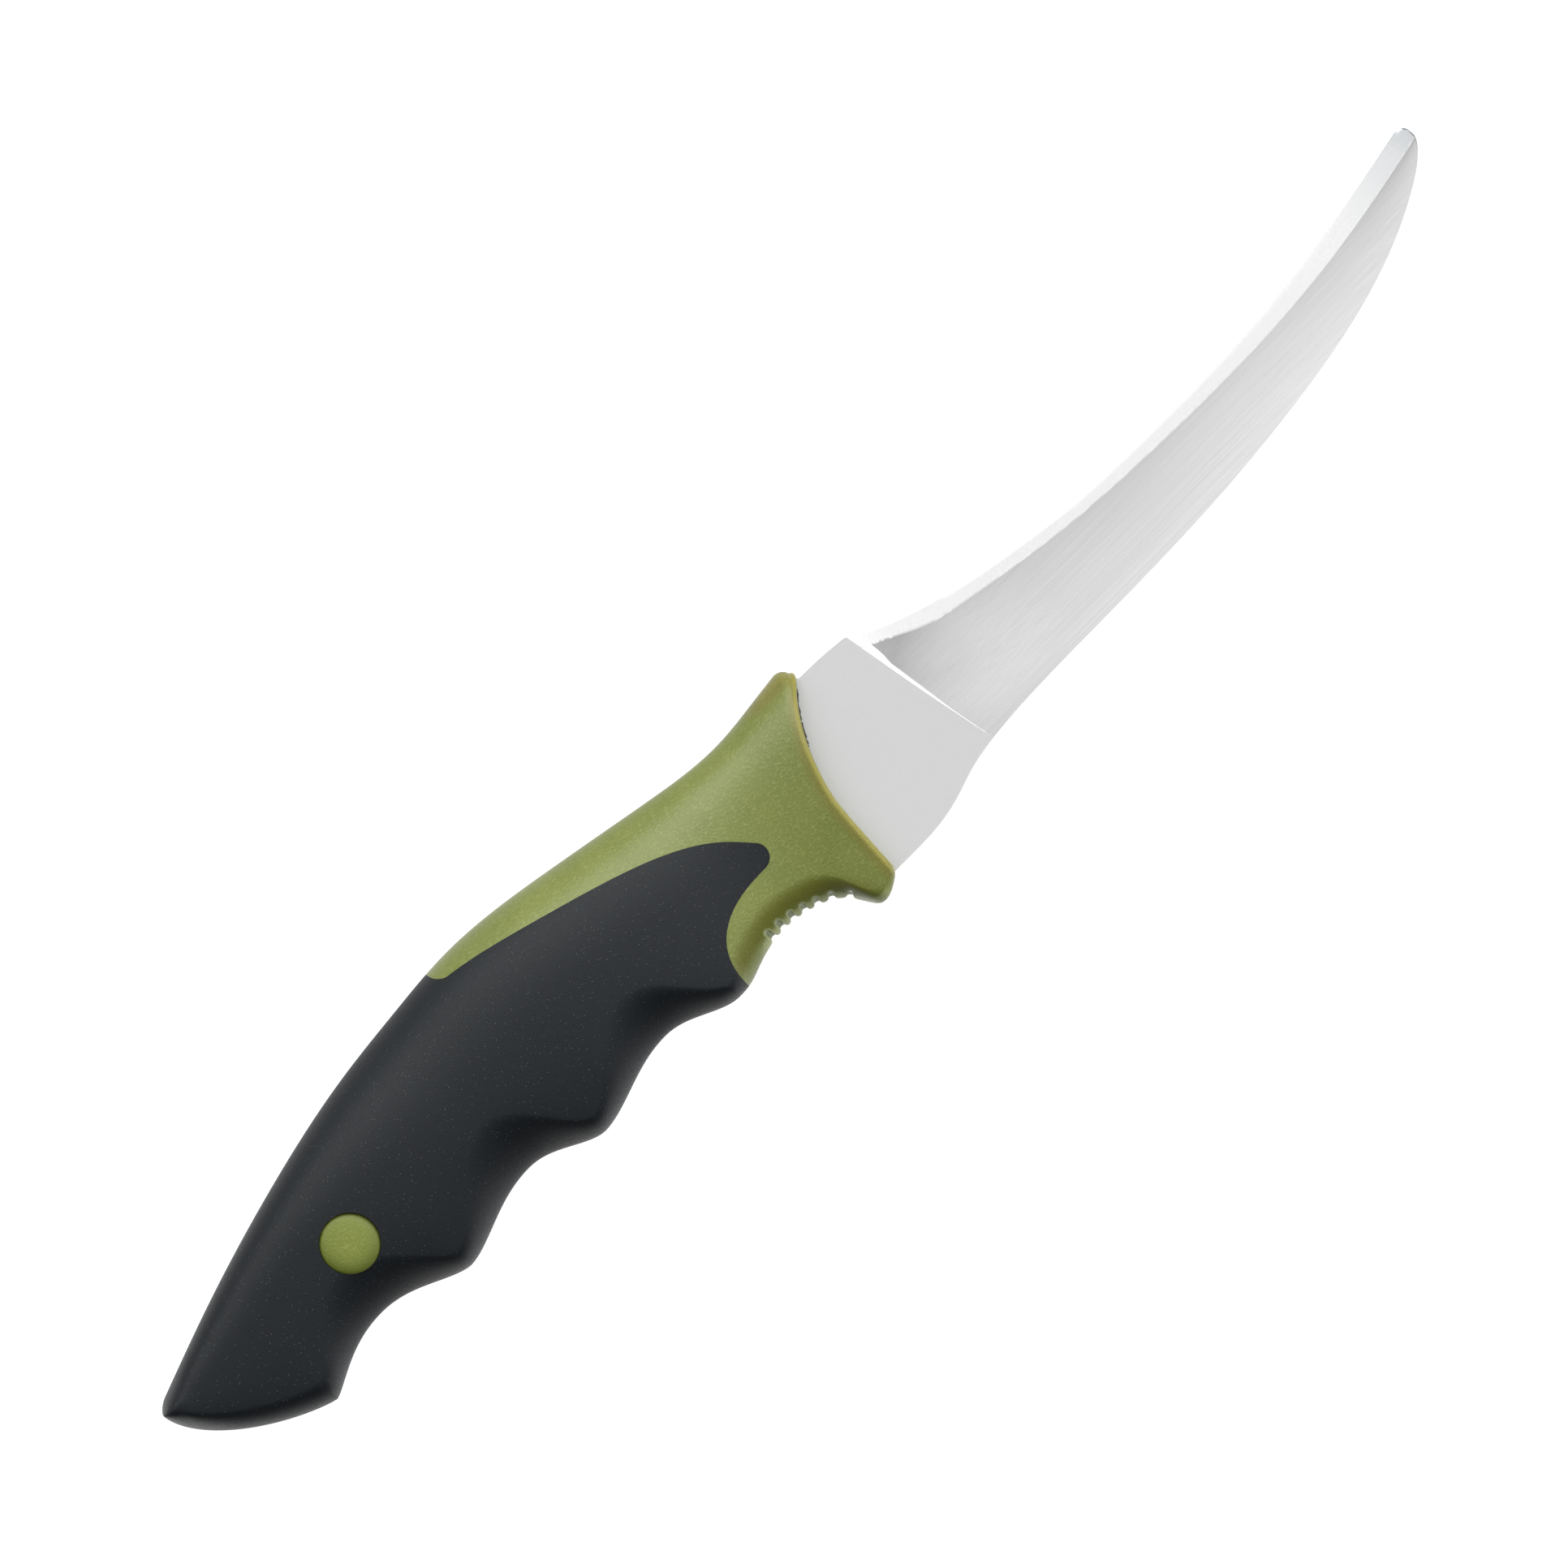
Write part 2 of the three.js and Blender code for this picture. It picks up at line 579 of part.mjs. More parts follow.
// Seam between the two materials in side view, from above the back to below the belly: round the strip's
// end, along the strip, round the nose and down the scallop behind the index groove.
function seamLine() {
  const seam = [];
  const end = point(-STRIP_LENGTH, back(-STRIP_LENGTH));
  for (const turn of steps(Math.PI, 1.5 * Math.PI, ARC_STEPS)) {
    seam.push(point(end.x + STRIP_END_DEPTH * Math.cos(turn), end.y + STRIP_END_DEPTH * Math.sin(turn)));
  }
  const nose = point(-NOSE_PLACE, NOSE_HEIGHT);
  const meet = THREE.MathUtils.degToRad(NOSE_TURN);
  const join = point(nose.x + NOSE_RADIUS * Math.cos(meet), nose.y + NOSE_RADIUS * Math.sin(meet));
  const along = (share) => lerp(end.x, join.x, share);
  const down = (share) => lerp(STRIP_END_DEPTH, back(join.x) - join.y, share);
  const stripDepth = spline([
    [along(0), down(0)],
    [along(0.29), down(0.184)],
    [along(0.594), down(0.33)],
    [along(0.797), down(0.5)],
    [along(0.898), down(0.67)],
    [along(0.949), down(0.81)],
    [along(1), down(1)],
  ]);
  for (const x of steps(end.x, join.x, 2 * LINE_STEPS).slice(1)) {
    seam.push(point(x, back(x) - stripDepth(x)));
  }
  for (const turn of steps(meet, -Math.PI / 2, 2 * ARC_STEPS).slice(1)) {
    seam.push(point(nose.x + NOSE_RADIUS * Math.cos(turn), nose.y + NOSE_RADIUS * Math.sin(turn)));
  }
  const scallopLength = FIRST_CREST - SCALLOP_SETBACK - NOSE_PLACE;
  const scallopHeight = NOSE_HEIGHT - NOSE_RADIUS + CREST_DEPTH;
  for (const turn of steps(0, Math.PI / 2, LINE_STEPS).slice(1)) {
    const x = nose.x - scallopLength * Math.sin(turn) ** SCALLOP_CURVE;
    seam.push(point(x, -CREST_DEPTH + scallopHeight * Math.abs(Math.cos(turn)) ** SCALLOP_CURVE));
  }
  return seam;
}

// Prism over the soft material's side view, its seam moved forward by a gap.
function gripPrism(gap) {
  const line = seamLine();
  const seam = line.map((place, i) => {
    const before = line[Math.max(i - 1, 0)];
    const after = line[Math.min(i + 1, line.length - 1)];
    const run = after.clone().sub(before).normalize();
    return point(place.x - gap * run.y, place.y + gap * run.x);
  });
  const over = BACK_HEIGHT + CREST_DEPTH;
  const first = seam[0];
  const last = seam[seam.length - 1];
  const outline = [point(heel - over, over), point(heel - over, -over), point(last.x, -over)];
  return plate([...outline, ...seam.toReversed(), point(first.x, over)], 2 * HANDLE_THICKNESS);
}

// Notches across the index groove, wider at the sides than in the middle so that they leave the mould.
function jimping() {
  const half = BOLSTER_THICKNESS / 2;
  const wide = JIMP_DIAMETER / 2 + JIMP_DRAFT;
  const profile = [
    point(0, -half),
    point(wide, -half),
    point(JIMP_DIAMETER / 2, 0),
    point(wide, half),
    point(0, half),
  ];
  return Array.from({ length: JIMP_COUNT }, (_, i) => {
    const x = -JIMP_START + i * JIMP_PITCH;
    const slope = (belly(x + JIMP_SINK) - belly(x - JIMP_SINK)) / (2 * JIMP_SINK);
    const lift = JIMP_SINK / Math.hypot(1, slope);
    const notch = new THREE.LatheGeometry(profile, CIRCLE_POINTS / 2);
    return notch.rotateX(Math.PI / 2).translate(x - lift * slope, belly(x) + lift, 0);
  });
}

// Badge: where it sits on the side, how deep its seat lies, and its turned form with the axis along Z.
const badgeCentre = point(-BADGE_PLACE, BADGE_HEIGHT);
const badgeSeat = halfThickness(-BADGE_PLACE) - GRIP_WALL - BADGE_SEAT_DEPTH;
const badgeHeight = halfThickness(-BADGE_PLACE) - badgeSeat - BADGE_GAP;
const badgeWindow = BADGE_DIAMETER + 2 * BADGE_GAP;

function makeBadge() {
  const radius = BADGE_DIAMETER / 2;
  const spigot = BADGE_SPIGOT_DIAMETER / 2;
  const profile = [
    point(0, -BADGE_SPIGOT_LENGTH),
    point(spigot, -BADGE_SPIGOT_LENGTH),
    point(spigot, 0),
    point(radius, 0),
    point(radius, badgeHeight - BADGE_DOME - BADGE_EDGE_ROUND),
  ];
  for (const reach of steps(radius - BADGE_EDGE_ROUND, 0, ROUND_STEPS)) {
    profile.push(point(reach, badgeHeight - BADGE_DOME * (reach / radius) ** 2));
  }
  return new THREE.LatheGeometry(profile, CIRCLE_POINTS).rotateX(Math.PI / 2);
}

// The hard core: bolster, strip and hidden body, with the tang's slot, the pegs that fill the lock holes,
// the jimping and the badge's seat and socket.
function makeCore() {
  let core = solid(handleForm()).subtract(solid(gripPrism(SEAM_GAP))).add(solid(coreForm(0)));
  let slot = solid(plate(tangOutline(2 * FACE_REACH, SLOT_GAP), TANG_THICKNESS + 2 * SLOT_GAP));
  for (const place of lockHoles()) {
    slot = slot.subtract(solid(crossBar(LOCK_HOLE_DIAMETER - 2 * SLOT_GAP, 2 * TANG_THICKNESS, place)));
  }
  core = core.subtract(slot);
  for (const notch of jimping()) core = core.subtract(solid(notch));
  const seatLength = HANDLE_THICKNESS;
  const socketDepth = BADGE_SPIGOT_LENGTH + BADGE_GAP;
  const seatPlace = badgeSeat + seatLength / 2;
  const seat = crossBar(badgeWindow, seatLength, badgeCentre, seatPlace);
  const socketSize = BADGE_SPIGOT_DIAMETER + 2 * BADGE_GAP;
  const socket = crossBar(socketSize, seatLength, badgeCentre, seatPlace - socketDepth);
  return geometryOf(core.subtract(solid(seat)).subtract(solid(socket)));
}

// The soft grip: the outer form inside the seam, hollowed by the core, with a window for the badge.
function makeGrip() {
  const window = crossBar(badgeWindow, HANDLE_THICKNESS, badgeCentre, HANDLE_THICKNESS / 2);
  const grip = solid(handleForm()).intersect(solid(gripPrism(0)));
  return geometryOf(grip.subtract(solid(coreForm(SEAM_GAP))).subtract(solid(window)));
}

// The knife, standing on the lowest point of its side with the middle of its box over the origin
const knife = new THREE.Group();

function piece(name, geometry, finish) {
  const mesh = new THREE.Mesh(geometry, new THREE.MeshStandardMaterial(finish));
  mesh.name = name;
  knife.add(mesh);
  return mesh;
}

piece("blade", makeBlade(), STEEL);
piece("handle_core", makeCore(), HARD_GREEN);
piece("soft_grip", makeGrip(), SOFT_BLACK);
const badgeLift = badgeSeat + BADGE_GAP;
piece("badge_upper", makeBadge(), BADGE_GREEN).position.set(badgeCentre.x, badgeCentre.y, badgeLift);

const box = new THREE.Box3().setFromObject(knife);
const centre = box.getCenter(new THREE.Vector3());
knife.position.set(-centre.x, -centre.y, -box.min.z);

export default knife;
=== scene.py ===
import bisect
import math

import bpy
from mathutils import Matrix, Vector


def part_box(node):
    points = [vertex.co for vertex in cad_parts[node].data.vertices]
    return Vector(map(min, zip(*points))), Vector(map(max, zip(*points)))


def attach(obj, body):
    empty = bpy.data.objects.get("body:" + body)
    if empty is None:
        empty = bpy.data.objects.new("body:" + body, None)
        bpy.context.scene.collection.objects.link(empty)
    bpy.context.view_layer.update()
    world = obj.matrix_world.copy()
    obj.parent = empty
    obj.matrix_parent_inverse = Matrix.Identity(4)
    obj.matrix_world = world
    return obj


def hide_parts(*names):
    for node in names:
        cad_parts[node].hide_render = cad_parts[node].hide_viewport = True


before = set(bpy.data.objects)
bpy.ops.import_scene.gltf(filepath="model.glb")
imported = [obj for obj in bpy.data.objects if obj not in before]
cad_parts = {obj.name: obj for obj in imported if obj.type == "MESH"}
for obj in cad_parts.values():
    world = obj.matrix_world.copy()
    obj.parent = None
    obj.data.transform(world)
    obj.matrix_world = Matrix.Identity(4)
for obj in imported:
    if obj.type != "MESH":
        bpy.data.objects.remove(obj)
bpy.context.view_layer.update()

# Camera. The knife lay on its side and was photographed from straight above, from far away. It is turned to
# run up the diagonal of a square picture, with its tip at the top right.
MM = 0.001
BLADE_LENGTH = 110.2
RICASSO_HEIGHT = 13.5
PICTURE_SIDE = 201.25
PICTURE_CENTRE = (-5.89, 5.01)
PICTURE_TURN = -45
CAMERA_HEIGHT = 1500

# The knife's lines are drawn in millimetres from a datum: the middle of the bolster's front, on the middle
# plane of the blade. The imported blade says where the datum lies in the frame.
blade_low, blade_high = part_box("blade")
datum = Vector((
    blade_high.x - BLADE_LENGTH * MM,
    blade_high.y - RICASSO_HEIGHT * MM,
    (blade_low.z + blade_high.z) / 2,
))

bpy.ops.object.camera_add(
    location=datum + Vector((*PICTURE_CENTRE, CAMERA_HEIGHT)) * MM,
    rotation=(0, 0, math.radians(PICTURE_TURN)),
)
camera = bpy.context.active_object
camera.data.type = "ORTHO"
camera.data.ortho_scale = PICTURE_SIDE * MM
bpy.context.scene.camera = camera

# Blade. One blank of 3 mm stainless steel: satin on the ricasso, hollow ground on both sides from a plunge
# there, with a wide honed bevel along the concave edge and a blunt tip. Its tang goes back into the handle,
# which is moulded round it.
BLADE_HALF = 1.5
RICASSO_LENGTH = 13.0
RICASSO_SUNK = 0.8
RICASSO_CHAMFER = 0.25
RICASSO_CHAMFER_DEPTH = 0.07
SPINE_CHAMFER = 0.07
SPINE_CHAMFER_DEPTH = 0.13
SPINE_CHAMFER_LIMIT = 0.4
BEVEL_SLOPE = 0.25
LAND_HALF = 0.16
SPINE_TIP_HALF = 0.95
EDGE_HALF = 0.06
TIP_ROUND = 1.7
TIP_BACK_ROUND = 1.0
TIP_BACK_RISE = 0.6
HOLLOW_DEPTH = 0.2
HOLLOW_FADE = 0.75
FLANK_LEAST = 0.05
BEVEL_LEAST = 0.1
MICRO_BEVEL = 0.32
INSET_BLEND = 1.0
PLUNGE_LEAN = 4.4
WEDGE_SLOPE = 0.22
WEDGE_WIDTH = 1.25
WEDGE_END = 0.26
WEDGE_LEAST = 0.01
LENS_SLOPE = 0.48
LENS_WIDTH = 0.66
LENS_MIDDLE = 0.2
LENS_END = 0.68
LENS_LEAST = 0.02
PLUNGE_STEP_SLOPE = 1.6
PLUNGE_STEP = 0.16
PLUNGE_STEP_LEAST = 0.02
PLUNGE_LIMIT = 0.8
PLUNGE_FADE = 36.0
PLUNGE_CURVE = 1.2
TANG_LENGTH = 82.0
TANG_FRONT = -6.0
TANG_HALF = 1.4
TANG_CHAMFER = 0.3
BLADE_CREASE = 6
WELD = 0.001


def between(start, end, share):
    return start + (end - start) * share


def within(value, low, high):
    return min(max(value, low), high)


def eased(value, start, end):
    """0 before start, 1 after end, and a smooth step between them."""
    share = within((value - start) / (end - start), 0, 1)
    return share * share * (3 - 2 * share)


def steps(start, end, count):
    return [between(start, end, i / count) for i in range(count + 1)]


def rise_at(line, x):
    """How much a line rises over the millimetre about x."""
    return line(x + 0.5) - line(x - 0.5)


def drawn_line(*points):
    """A smooth line through points (x, y) in order of x, as a function of x: a natural cubic spline."""
    xs, ys = zip(*points)
    last = len(xs) - 1
    runs = [xs[i + 1] - xs[i] for i in range(last)]
    slopes = [(ys[i + 1] - ys[i]) / runs[i] for i in range(last)]
    bends = [0.0] * (last + 1)
    ratios = [0.0] * (last + 1)
    for i in range(1, last):
        pivot = 2 * (runs[i - 1] + runs[i]) - runs[i - 1] * ratios[i - 1]
        ratios[i] = runs[i] / pivot
        bends[i] = (6 * (slopes[i] - slopes[i - 1]) - runs[i - 1] * bends[i - 1]) / pivot
    for i in reversed(range(1, last)):
        bends[i] -= ratios[i] * bends[i + 1]

    def height(x):
        i = within(bisect.bisect_right(xs, x) - 1, 0, last - 1)
        ahead = (x - xs[i]) / runs[i]
        behind = 1 - ahead
        sag = (behind**3 - behind) * bends[i] + (ahead**3 - ahead) * bends[i + 1]
        return behind * ys[i] + ahead * ys[i + 1] + sag * runs[i] ** 2 / 6

    return height


def wrap_grid(name, rings):
    """A new object about the datum: a grid wrapped onto closed rings of points given in millimetres."""
    along, around = len(rings) - 1, len(rings[0])
    bpy.ops.object.select_all(action="DESELECT")
    bpy.ops.mesh.primitive_grid_add(x_subdivisions=along, y_subdivisions=around, size=1)
    piece = bpy.context.active_object
    piece.name = piece.data.name = name
    for vertex in piece.data.vertices:
        ring = rings[round((vertex.co.x + 0.5) * along)]
        vertex.co = Vector(ring[round((vertex.co.y + 0.5) * around) % around]) * MM
    bpy.ops.object.mode_set(mode="EDIT")
    bpy.ops.mesh.select_all(action="SELECT")
    bpy.ops.mesh.remove_doubles(threshold=WELD * MM)
    bpy.ops.mesh.normals_make_consistent(inside=False)
    bpy.ops.mesh.select_all(action="DESELECT")
    bpy.ops.object.mode_set(mode="OBJECT")
    return piece


def seat(piece, crease):
    """Puts a piece made about the datum in its place in the frame, and smooths it up to a crease angle."""
    bpy.ops.object.select_all(action="DESELECT")
    piece.select_set(True)
    bpy.context.view_layer.objects.active = piece
    piece.location = datum
    bpy.ops.object.transform_apply(location=True, rotation=False, scale=False)
    bpy.ops.object.shade_smooth_by_angle(angle=math.radians(crease))


bolster_face = drawn_line(
    (-15.5, -3.4), (-13, -3.4), (-6, -3.05), (0, -2.4), (4, -1.15), (8, 0.65), (10.2, 2.05), (12.5, 3.9),
    (13.6, 4.85), (14.4, 5.15), (16, 5.2),
)
spine_line = drawn_line(
    (-5, -13), (-0.8, -13), (3.9, -12.85), (8.7, -11.95), (12.4, -10.75), (17.9, -9.75), (29.5, -9.1),
    (46, -8.9), (60, -8.35), (76, -6.75), (90, -4.1), (100, -0.65), (106, 2.5), (108.8, 4.6), (110.2, 6.1),
)
ricasso_top = drawn_line((0, 13.6), (5, 13.5), (9, 13.4), (13, 13.05))
edge_line = drawn_line(
    (13, 13.05), (16, 11.25), (20, 9.6), (28, 7.25), (40, 5.07), (46.5, 4.25), (54, 3.9), (65.5, 3.8),
    (82, 4.48), (98, 6.68), (108.8, 8.8),
)
shoulder_line = drawn_line(
    (-5, 10.9), (8, 10.9), (14.3, 9.9), (20, 7.1), (28, 5), (40, 3.1), (60, 1.8), (80, 1.95), (100, 4.35),
    (110.2, 6.4),
)
tang_top = drawn_line((-TANG_LENGTH, 7.6), (-60, 7.3), (5, 7))
tang_bottom = drawn_line((-TANG_LENGTH, -0.4), (-60, -1.4), (5, -5))

FLANK_ROWS = 22
FLANK_CROWDING = 1.5
BEVEL_ROWS = 6
flank_shares = [1 - (1 - i / FLANK_ROWS) ** FLANK_CROWDING for i in range(FLANK_ROWS + 1)]
bevel_shares = steps(0, 1, BEVEL_ROWS)[1:]
# How far each row lies from the edge, as a share of the blade's height at the plunge.
SPINE_SHARE = 0.99
SHOULDER_SHARE = 0.12
MICRO_SHARE = 0.015
row_shares = [1.0]
row_shares += [between(SPINE_SHARE, SHOULDER_SHARE, share) for share in flank_shares]
row_shares += [between(SHOULDER_SHARE, MICRO_SHARE, share) for share in bevel_shares]
row_shares += [0.0]


def upper_line(x):
    """The ricasso's top, the cutting edge and the tip's round end."""
    if x < RICASSO_LENGTH:
        return ricasso_top(x)
    past = within(x - (BLADE_LENGTH - TIP_ROUND), 0, TIP_ROUND)
    return edge_line(x) - (TIP_ROUND - math.sqrt(TIP_ROUND**2 - past**2))


def lower_line(x):
    """The back of the blade, turned up into the tip's end."""
    past = within(x - (BLADE_LENGTH - TIP_BACK_ROUND), 0, TIP_BACK_ROUND)
    return spine_line(x) + TIP_BACK_RISE * (TIP_BACK_ROUND - math.sqrt(TIP_BACK_ROUND**2 - past**2))


def shoulder(x):
    """The border between flank and bevel."""
    return within(shoulder_line(x), lower_line(x) + FLANK_LEAST, upper_line(x) - BEVEL_LEAST)


def spine_chamfer(x):
    return min(SPINE_CHAMFER, SPINE_CHAMFER_LIMIT * (shoulder(x) - lower_line(x)))


def row_height(row, x):
    """Height of a row at x, from the spine through the flank, the shoulder and the bevel to the edge."""
    if row == 0:
        return lower_line(x)
    if row <= FLANK_ROWS + 1:
        return between(lower_line(x) + spine_chamfer(x), shoulder(x), flank_shares[row - 1])
    if row <= FLANK_ROWS + 1 + BEVEL_ROWS:
        ground = eased(x, RICASSO_LENGTH - INSET_BLEND, RICASSO_LENGTH + INSET_BLEND)
        inset = between(RICASSO_CHAMFER, MICRO_BEVEL, ground)
        high = max(upper_line(x) - inset, between(shoulder(x), upper_line(x), 0.5))
        return between(shoulder(x), high, bevel_shares[row - FLANK_ROWS - 2])
    return upper_line(x)


def ricasso_half(row):
    if row == 0:
        return BLADE_HALF - SPINE_CHAMFER_DEPTH
    return BLADE_HALF - RICASSO_CHAMFER_DEPTH if row == len(row_shares) - 1 else BLADE_HALF


def ground_half(row, x):
    """Half of the fully ground blade's thickness at a row."""
    tip = within((x - RICASSO_LENGTH) / (BLADE_LENGTH - RICASSO_LENGTH), 0, 1)
    spine_half = between(BLADE_HALF, SPINE_TIP_HALF, tip**3)
    climb = rise_at(edge_line, x)
    slope = BEVEL_SLOPE * math.hypot(1, climb) / (1 - climb)
    bevel = max(edge_line(x) - MICRO_BEVEL - shoulder_line(x), 0)
    shoulder_half = min(LAND_HALF + slope * bevel, spine_half)
    if row == 0:
        return spine_half - SPINE_CHAMFER_DEPTH
    if row <= FLANK_ROWS + 1:
        share = flank_shares[row - 1]
        hollow = HOLLOW_DEPTH * (1 - HOLLOW_FADE * tip) * 4 * share * (1 - share)
        return between(spine_half, shoulder_half, share) - hollow
    if row == len(row_shares) - 1:
        return EDGE_HALF
    return max(shoulder_half - slope * (row_height(row, x) - shoulder(x)), LAND_HALF)


def plunge_share(row):
    """How much of the grind's depth the plunge itself has: none near the spine, all of it at the bevel."""
    if row == 0:
        return 0
    return flank_shares[row - 1] ** PLUNGE_CURVE if row <= FLANK_ROWS else 1


def blade_half(row, x, share):
    """Half of the blade's thickness when a share of the grind's depth is ground away."""
    return between(ricasso_half(row), ground_half(row, x), share)


def plunge_start(row):
    return RICASSO_LENGTH + PLUNGE_LEAN * row_shares[row]


def wedge_width(share):
    """Width of the plunge's pale wedge beside the ricasso, by the share of the way from edge to spine."""
    return WEDGE_WIDTH * within(1 - share / WEDGE_END, WEDGE_LEAST, 1)


def lens_width(share):
    """Width of the plunge's bright facet, a long lens that ends well before the spine."""
    fall = within((LENS_END - share) / (LENS_END - LENS_MIDDLE), LENS_LEAST, 1)
    return LENS_WIDTH * min(LENS_LEAST + eased(share, 0, LENS_MIDDLE), fall)


def plunge_point(row, over_wedge, over_lens):
    """A point of a row on the plunge, by the shares of the way over its wedge and its lens: x, the drop
    from the ricasso's face, and the drop of the whole grind there."""
    wedge = wedge_width(row_shares[row]) * over_wedge
    lens = lens_width(row_shares[row]) * over_lens
    x = plunge_start(row) + wedge + lens
    full = ricasso_half(row) - blade_half(row, x, plunge_share(row))
    return x, min(WEDGE_SLOPE * wedge + LENS_SLOPE * lens, PLUNGE_LIMIT * full), full


def plunge_end(row):
    x, drop, full = plunge_point(row, 1, 1)
    return x + within((full - drop) / PLUNGE_STEP_SLOPE, PLUNGE_STEP_LEAST, PLUNGE_STEP)


def both_sides(side):
    """A closed ring from the points of one side of the blade, given from the spine to the edge."""
    return side + [(x, y, -z) for x, y, z in reversed(side)]


def tang_ring(x, half):
    """A ring of the tang. The last one, at 0, follows the bolster's face."""
    side = []
    for row, share in enumerate(row_shares):
        y = between(tang_top(x), tang_bottom(x), share)
        place = x if x < 0 else bolster_face(y) - RICASSO_SUNK
        at_rim = row in (0, len(row_shares) - 1)
        side.append((place, y, max(half - TANG_CHAMFER * at_rim, 0)))
    return both_sides(side)


def ricasso_ring(share):
    side = []
    for row in range(len(row_shares)):
        x = between(bolster_face(row_height(row, 0)) - RICASSO_SUNK, plunge_start(row), share)
        side.append((x, row_height(row, x), ricasso_half(row)))
    return both_sides(side)


def plunge_ring(over_wedge, over_lens):
    side = []
    for row in range(len(row_shares)):
        x, drop, _ = plunge_point(row, over_wedge, over_lens)
        side.append((x, row_height(row, x), ricasso_half(row) - drop))
    return both_sides(side)


def ground_ring(along):
    """A line behind the plunge's step. The grind deepens to its full depth along the blade."""
    side = []
    for row in range(len(row_shares)):
        x = between(plunge_end(row), PLUNGE_FADE, along)
        depth = between(plunge_share(row), 1, eased(x, plunge_end(row), PLUNGE_FADE))
        side.append((x, row_height(row, x), blade_half(row, x, depth)))
    return both_sides(side)


def long_ring(x, thin=1.0):
    rows = range(len(row_shares))
    return both_sides([(x, row_height(row, x), ground_half(row, x) * thin) for row in rows])


TANG_RINGS = 10
RICASSO_RINGS = 30
GROUND_RINGS = 40
LONG_RINGS = 80
TIP_RINGS = 20
RING_CROWDING = 1.6
tip_start = BLADE_LENGTH - 3 * TIP_ROUND
tip_turns = steps(0, math.pi / 2, TIP_RINGS)[1:]
rings = [tang_ring(-TANG_LENGTH, 0)]
rings += [tang_ring(x, TANG_HALF) for x in (*steps(-TANG_LENGTH, TANG_FRONT, TANG_RINGS), 0)]
rings += [ricasso_ring(share**RING_CROWDING) for share in steps(0, 1, RICASSO_RINGS)]
rings += [plunge_ring(over_wedge, 0) for over_wedge in (0.5, 1)]
rings += [plunge_ring(1, over_lens) for over_lens in (0.33, 0.67, 1)]
rings += [ground_ring(share**RING_CROWDING) for share in steps(0, 1, GROUND_RINGS)]
rings += [long_ring(x) for x in steps(PLUNGE_FADE, tip_start, LONG_RINGS)[1:]]
rings += [long_ring(between(tip_start, BLADE_LENGTH, math.sin(turn))) for turn in tip_turns]
rings += [long_ring(BLADE_LENGTH, 0)]
blade = wrap_grid("ground_blade", rings)
seat(blade, BLADE_CREASE)


def paint(piece, name, value):
    """Gives each point of a piece a number from 0 to 1 under a name, for its material."""
    layer = piece.data.attributes.new(name, "FLOAT", "POINT")
    for vertex, entry in zip(piece.data.vertices, layer.data):
        x, y, z = (vertex.co - datum) / MM
        entry.value = within(value(x, y, z), 0, 1)


# Painted shade on the ground steel: how much darker its colour is painted, and over which lengths: along
# the bevel, at its tip, on the flank below the shoulder, behind the plunge, and on the blade's root.
BEVEL_SHADE = 0.6
BEVEL_SHADE_ALONG = (90, 110.5)
BEVEL_SHADE_POWER = 1.3
TIP_SHADE = 0.25
TIP_SHADE_ALONG = (106, 110.2)
SHOULDER_SHADE = (0.12, 0.4)
SHOULDER_SHADE_ALONG = (90, 106)
SHOULDER_SHADE_WIDTH = 1.6
PLUNGE_SHADE = 1.3
PLUNGE_SHADE_LENGTH = 5
PLUNGE_SHADE_WIDTH = 7
ROOT_SHADE = 0.24
ROOT_SHADE_END = (45, 85)
ROOT_LOW_ALONG = (20, 34)
ROOT_LOW_DOWN = (6, 13)


def painted_steel_shade(x, y, z):
    """Painted shade on the ground steel, from 0 to 1 or a little more."""
    top, low = upper_line(x), lower_line(x)
    share = within((top - y) / (top - low), 0, 1)
    past = x - RICASSO_LENGTH - PLUNGE_LEAN * share - wedge_width(share) - lens_width(share)
    if past < 0:
        return 0
    if y > shoulder(x):
        along_bevel = BEVEL_SHADE * eased(x, *BEVEL_SHADE_ALONG) ** BEVEL_SHADE_POWER
        return along_bevel + TIP_SHADE * eased(x, *TIP_SHADE_ALONG)
    down = shoulder(x) - y
    shoulder_shade_depth = between(*SHOULDER_SHADE, eased(x, *SHOULDER_SHADE_ALONG))
    at_shoulder = shoulder_shade_depth * math.exp(-down / SHOULDER_SHADE_WIDTH)
    at_plunge = PLUNGE_SHADE * math.exp(-past / PLUNGE_SHADE_LENGTH) * math.exp(-down / PLUNGE_SHADE_WIDTH)
    low_down = between(1, eased(x, *ROOT_LOW_ALONG), eased(down, *ROOT_LOW_DOWN))
    at_root = ROOT_SHADE * (1 - eased(x, *ROOT_SHADE_END)) * low_down
    return at_shoulder + at_plunge + at_root


RESIDUE_WIDTH = 0.5
RESIDUE_START = (4, 7)
RESIDUE_END = (12, 13.4)
RESIDUE_LIMIT = 6


def residue(x, y, z):
    """Where moulding residue clings to the ricasso, along the upper part of the bolster."""
    if x >= RESIDUE_LIMIT:
        return 0
    near = 1 - (x - bolster_face(y)) / RESIDUE_WIDTH
    return near * eased(y, *RESIDUE_START) * (1 - eased(y, *RESIDUE_END))


# The ground steel's painted shade, and the moulding residue by the bolster.
paint(blade, "painted_steel_shade", painted_steel_shade)
paint(blade, "residue", residue)


def new_finish(name, colour, roughness, metallic=0.0):
    """A new material and its Principled shader."""
    finish = bpy.data.materials.new(name)
    finish.use_nodes = True
    shader = finish.node_tree.nodes["Principled BSDF"]
    shader.inputs["Base Color"].default_value = (*colour, 1)
    shader.inputs["Roughness"].default_value = roughness
    shader.inputs["Metallic"].default_value = metallic
    return finish, shader


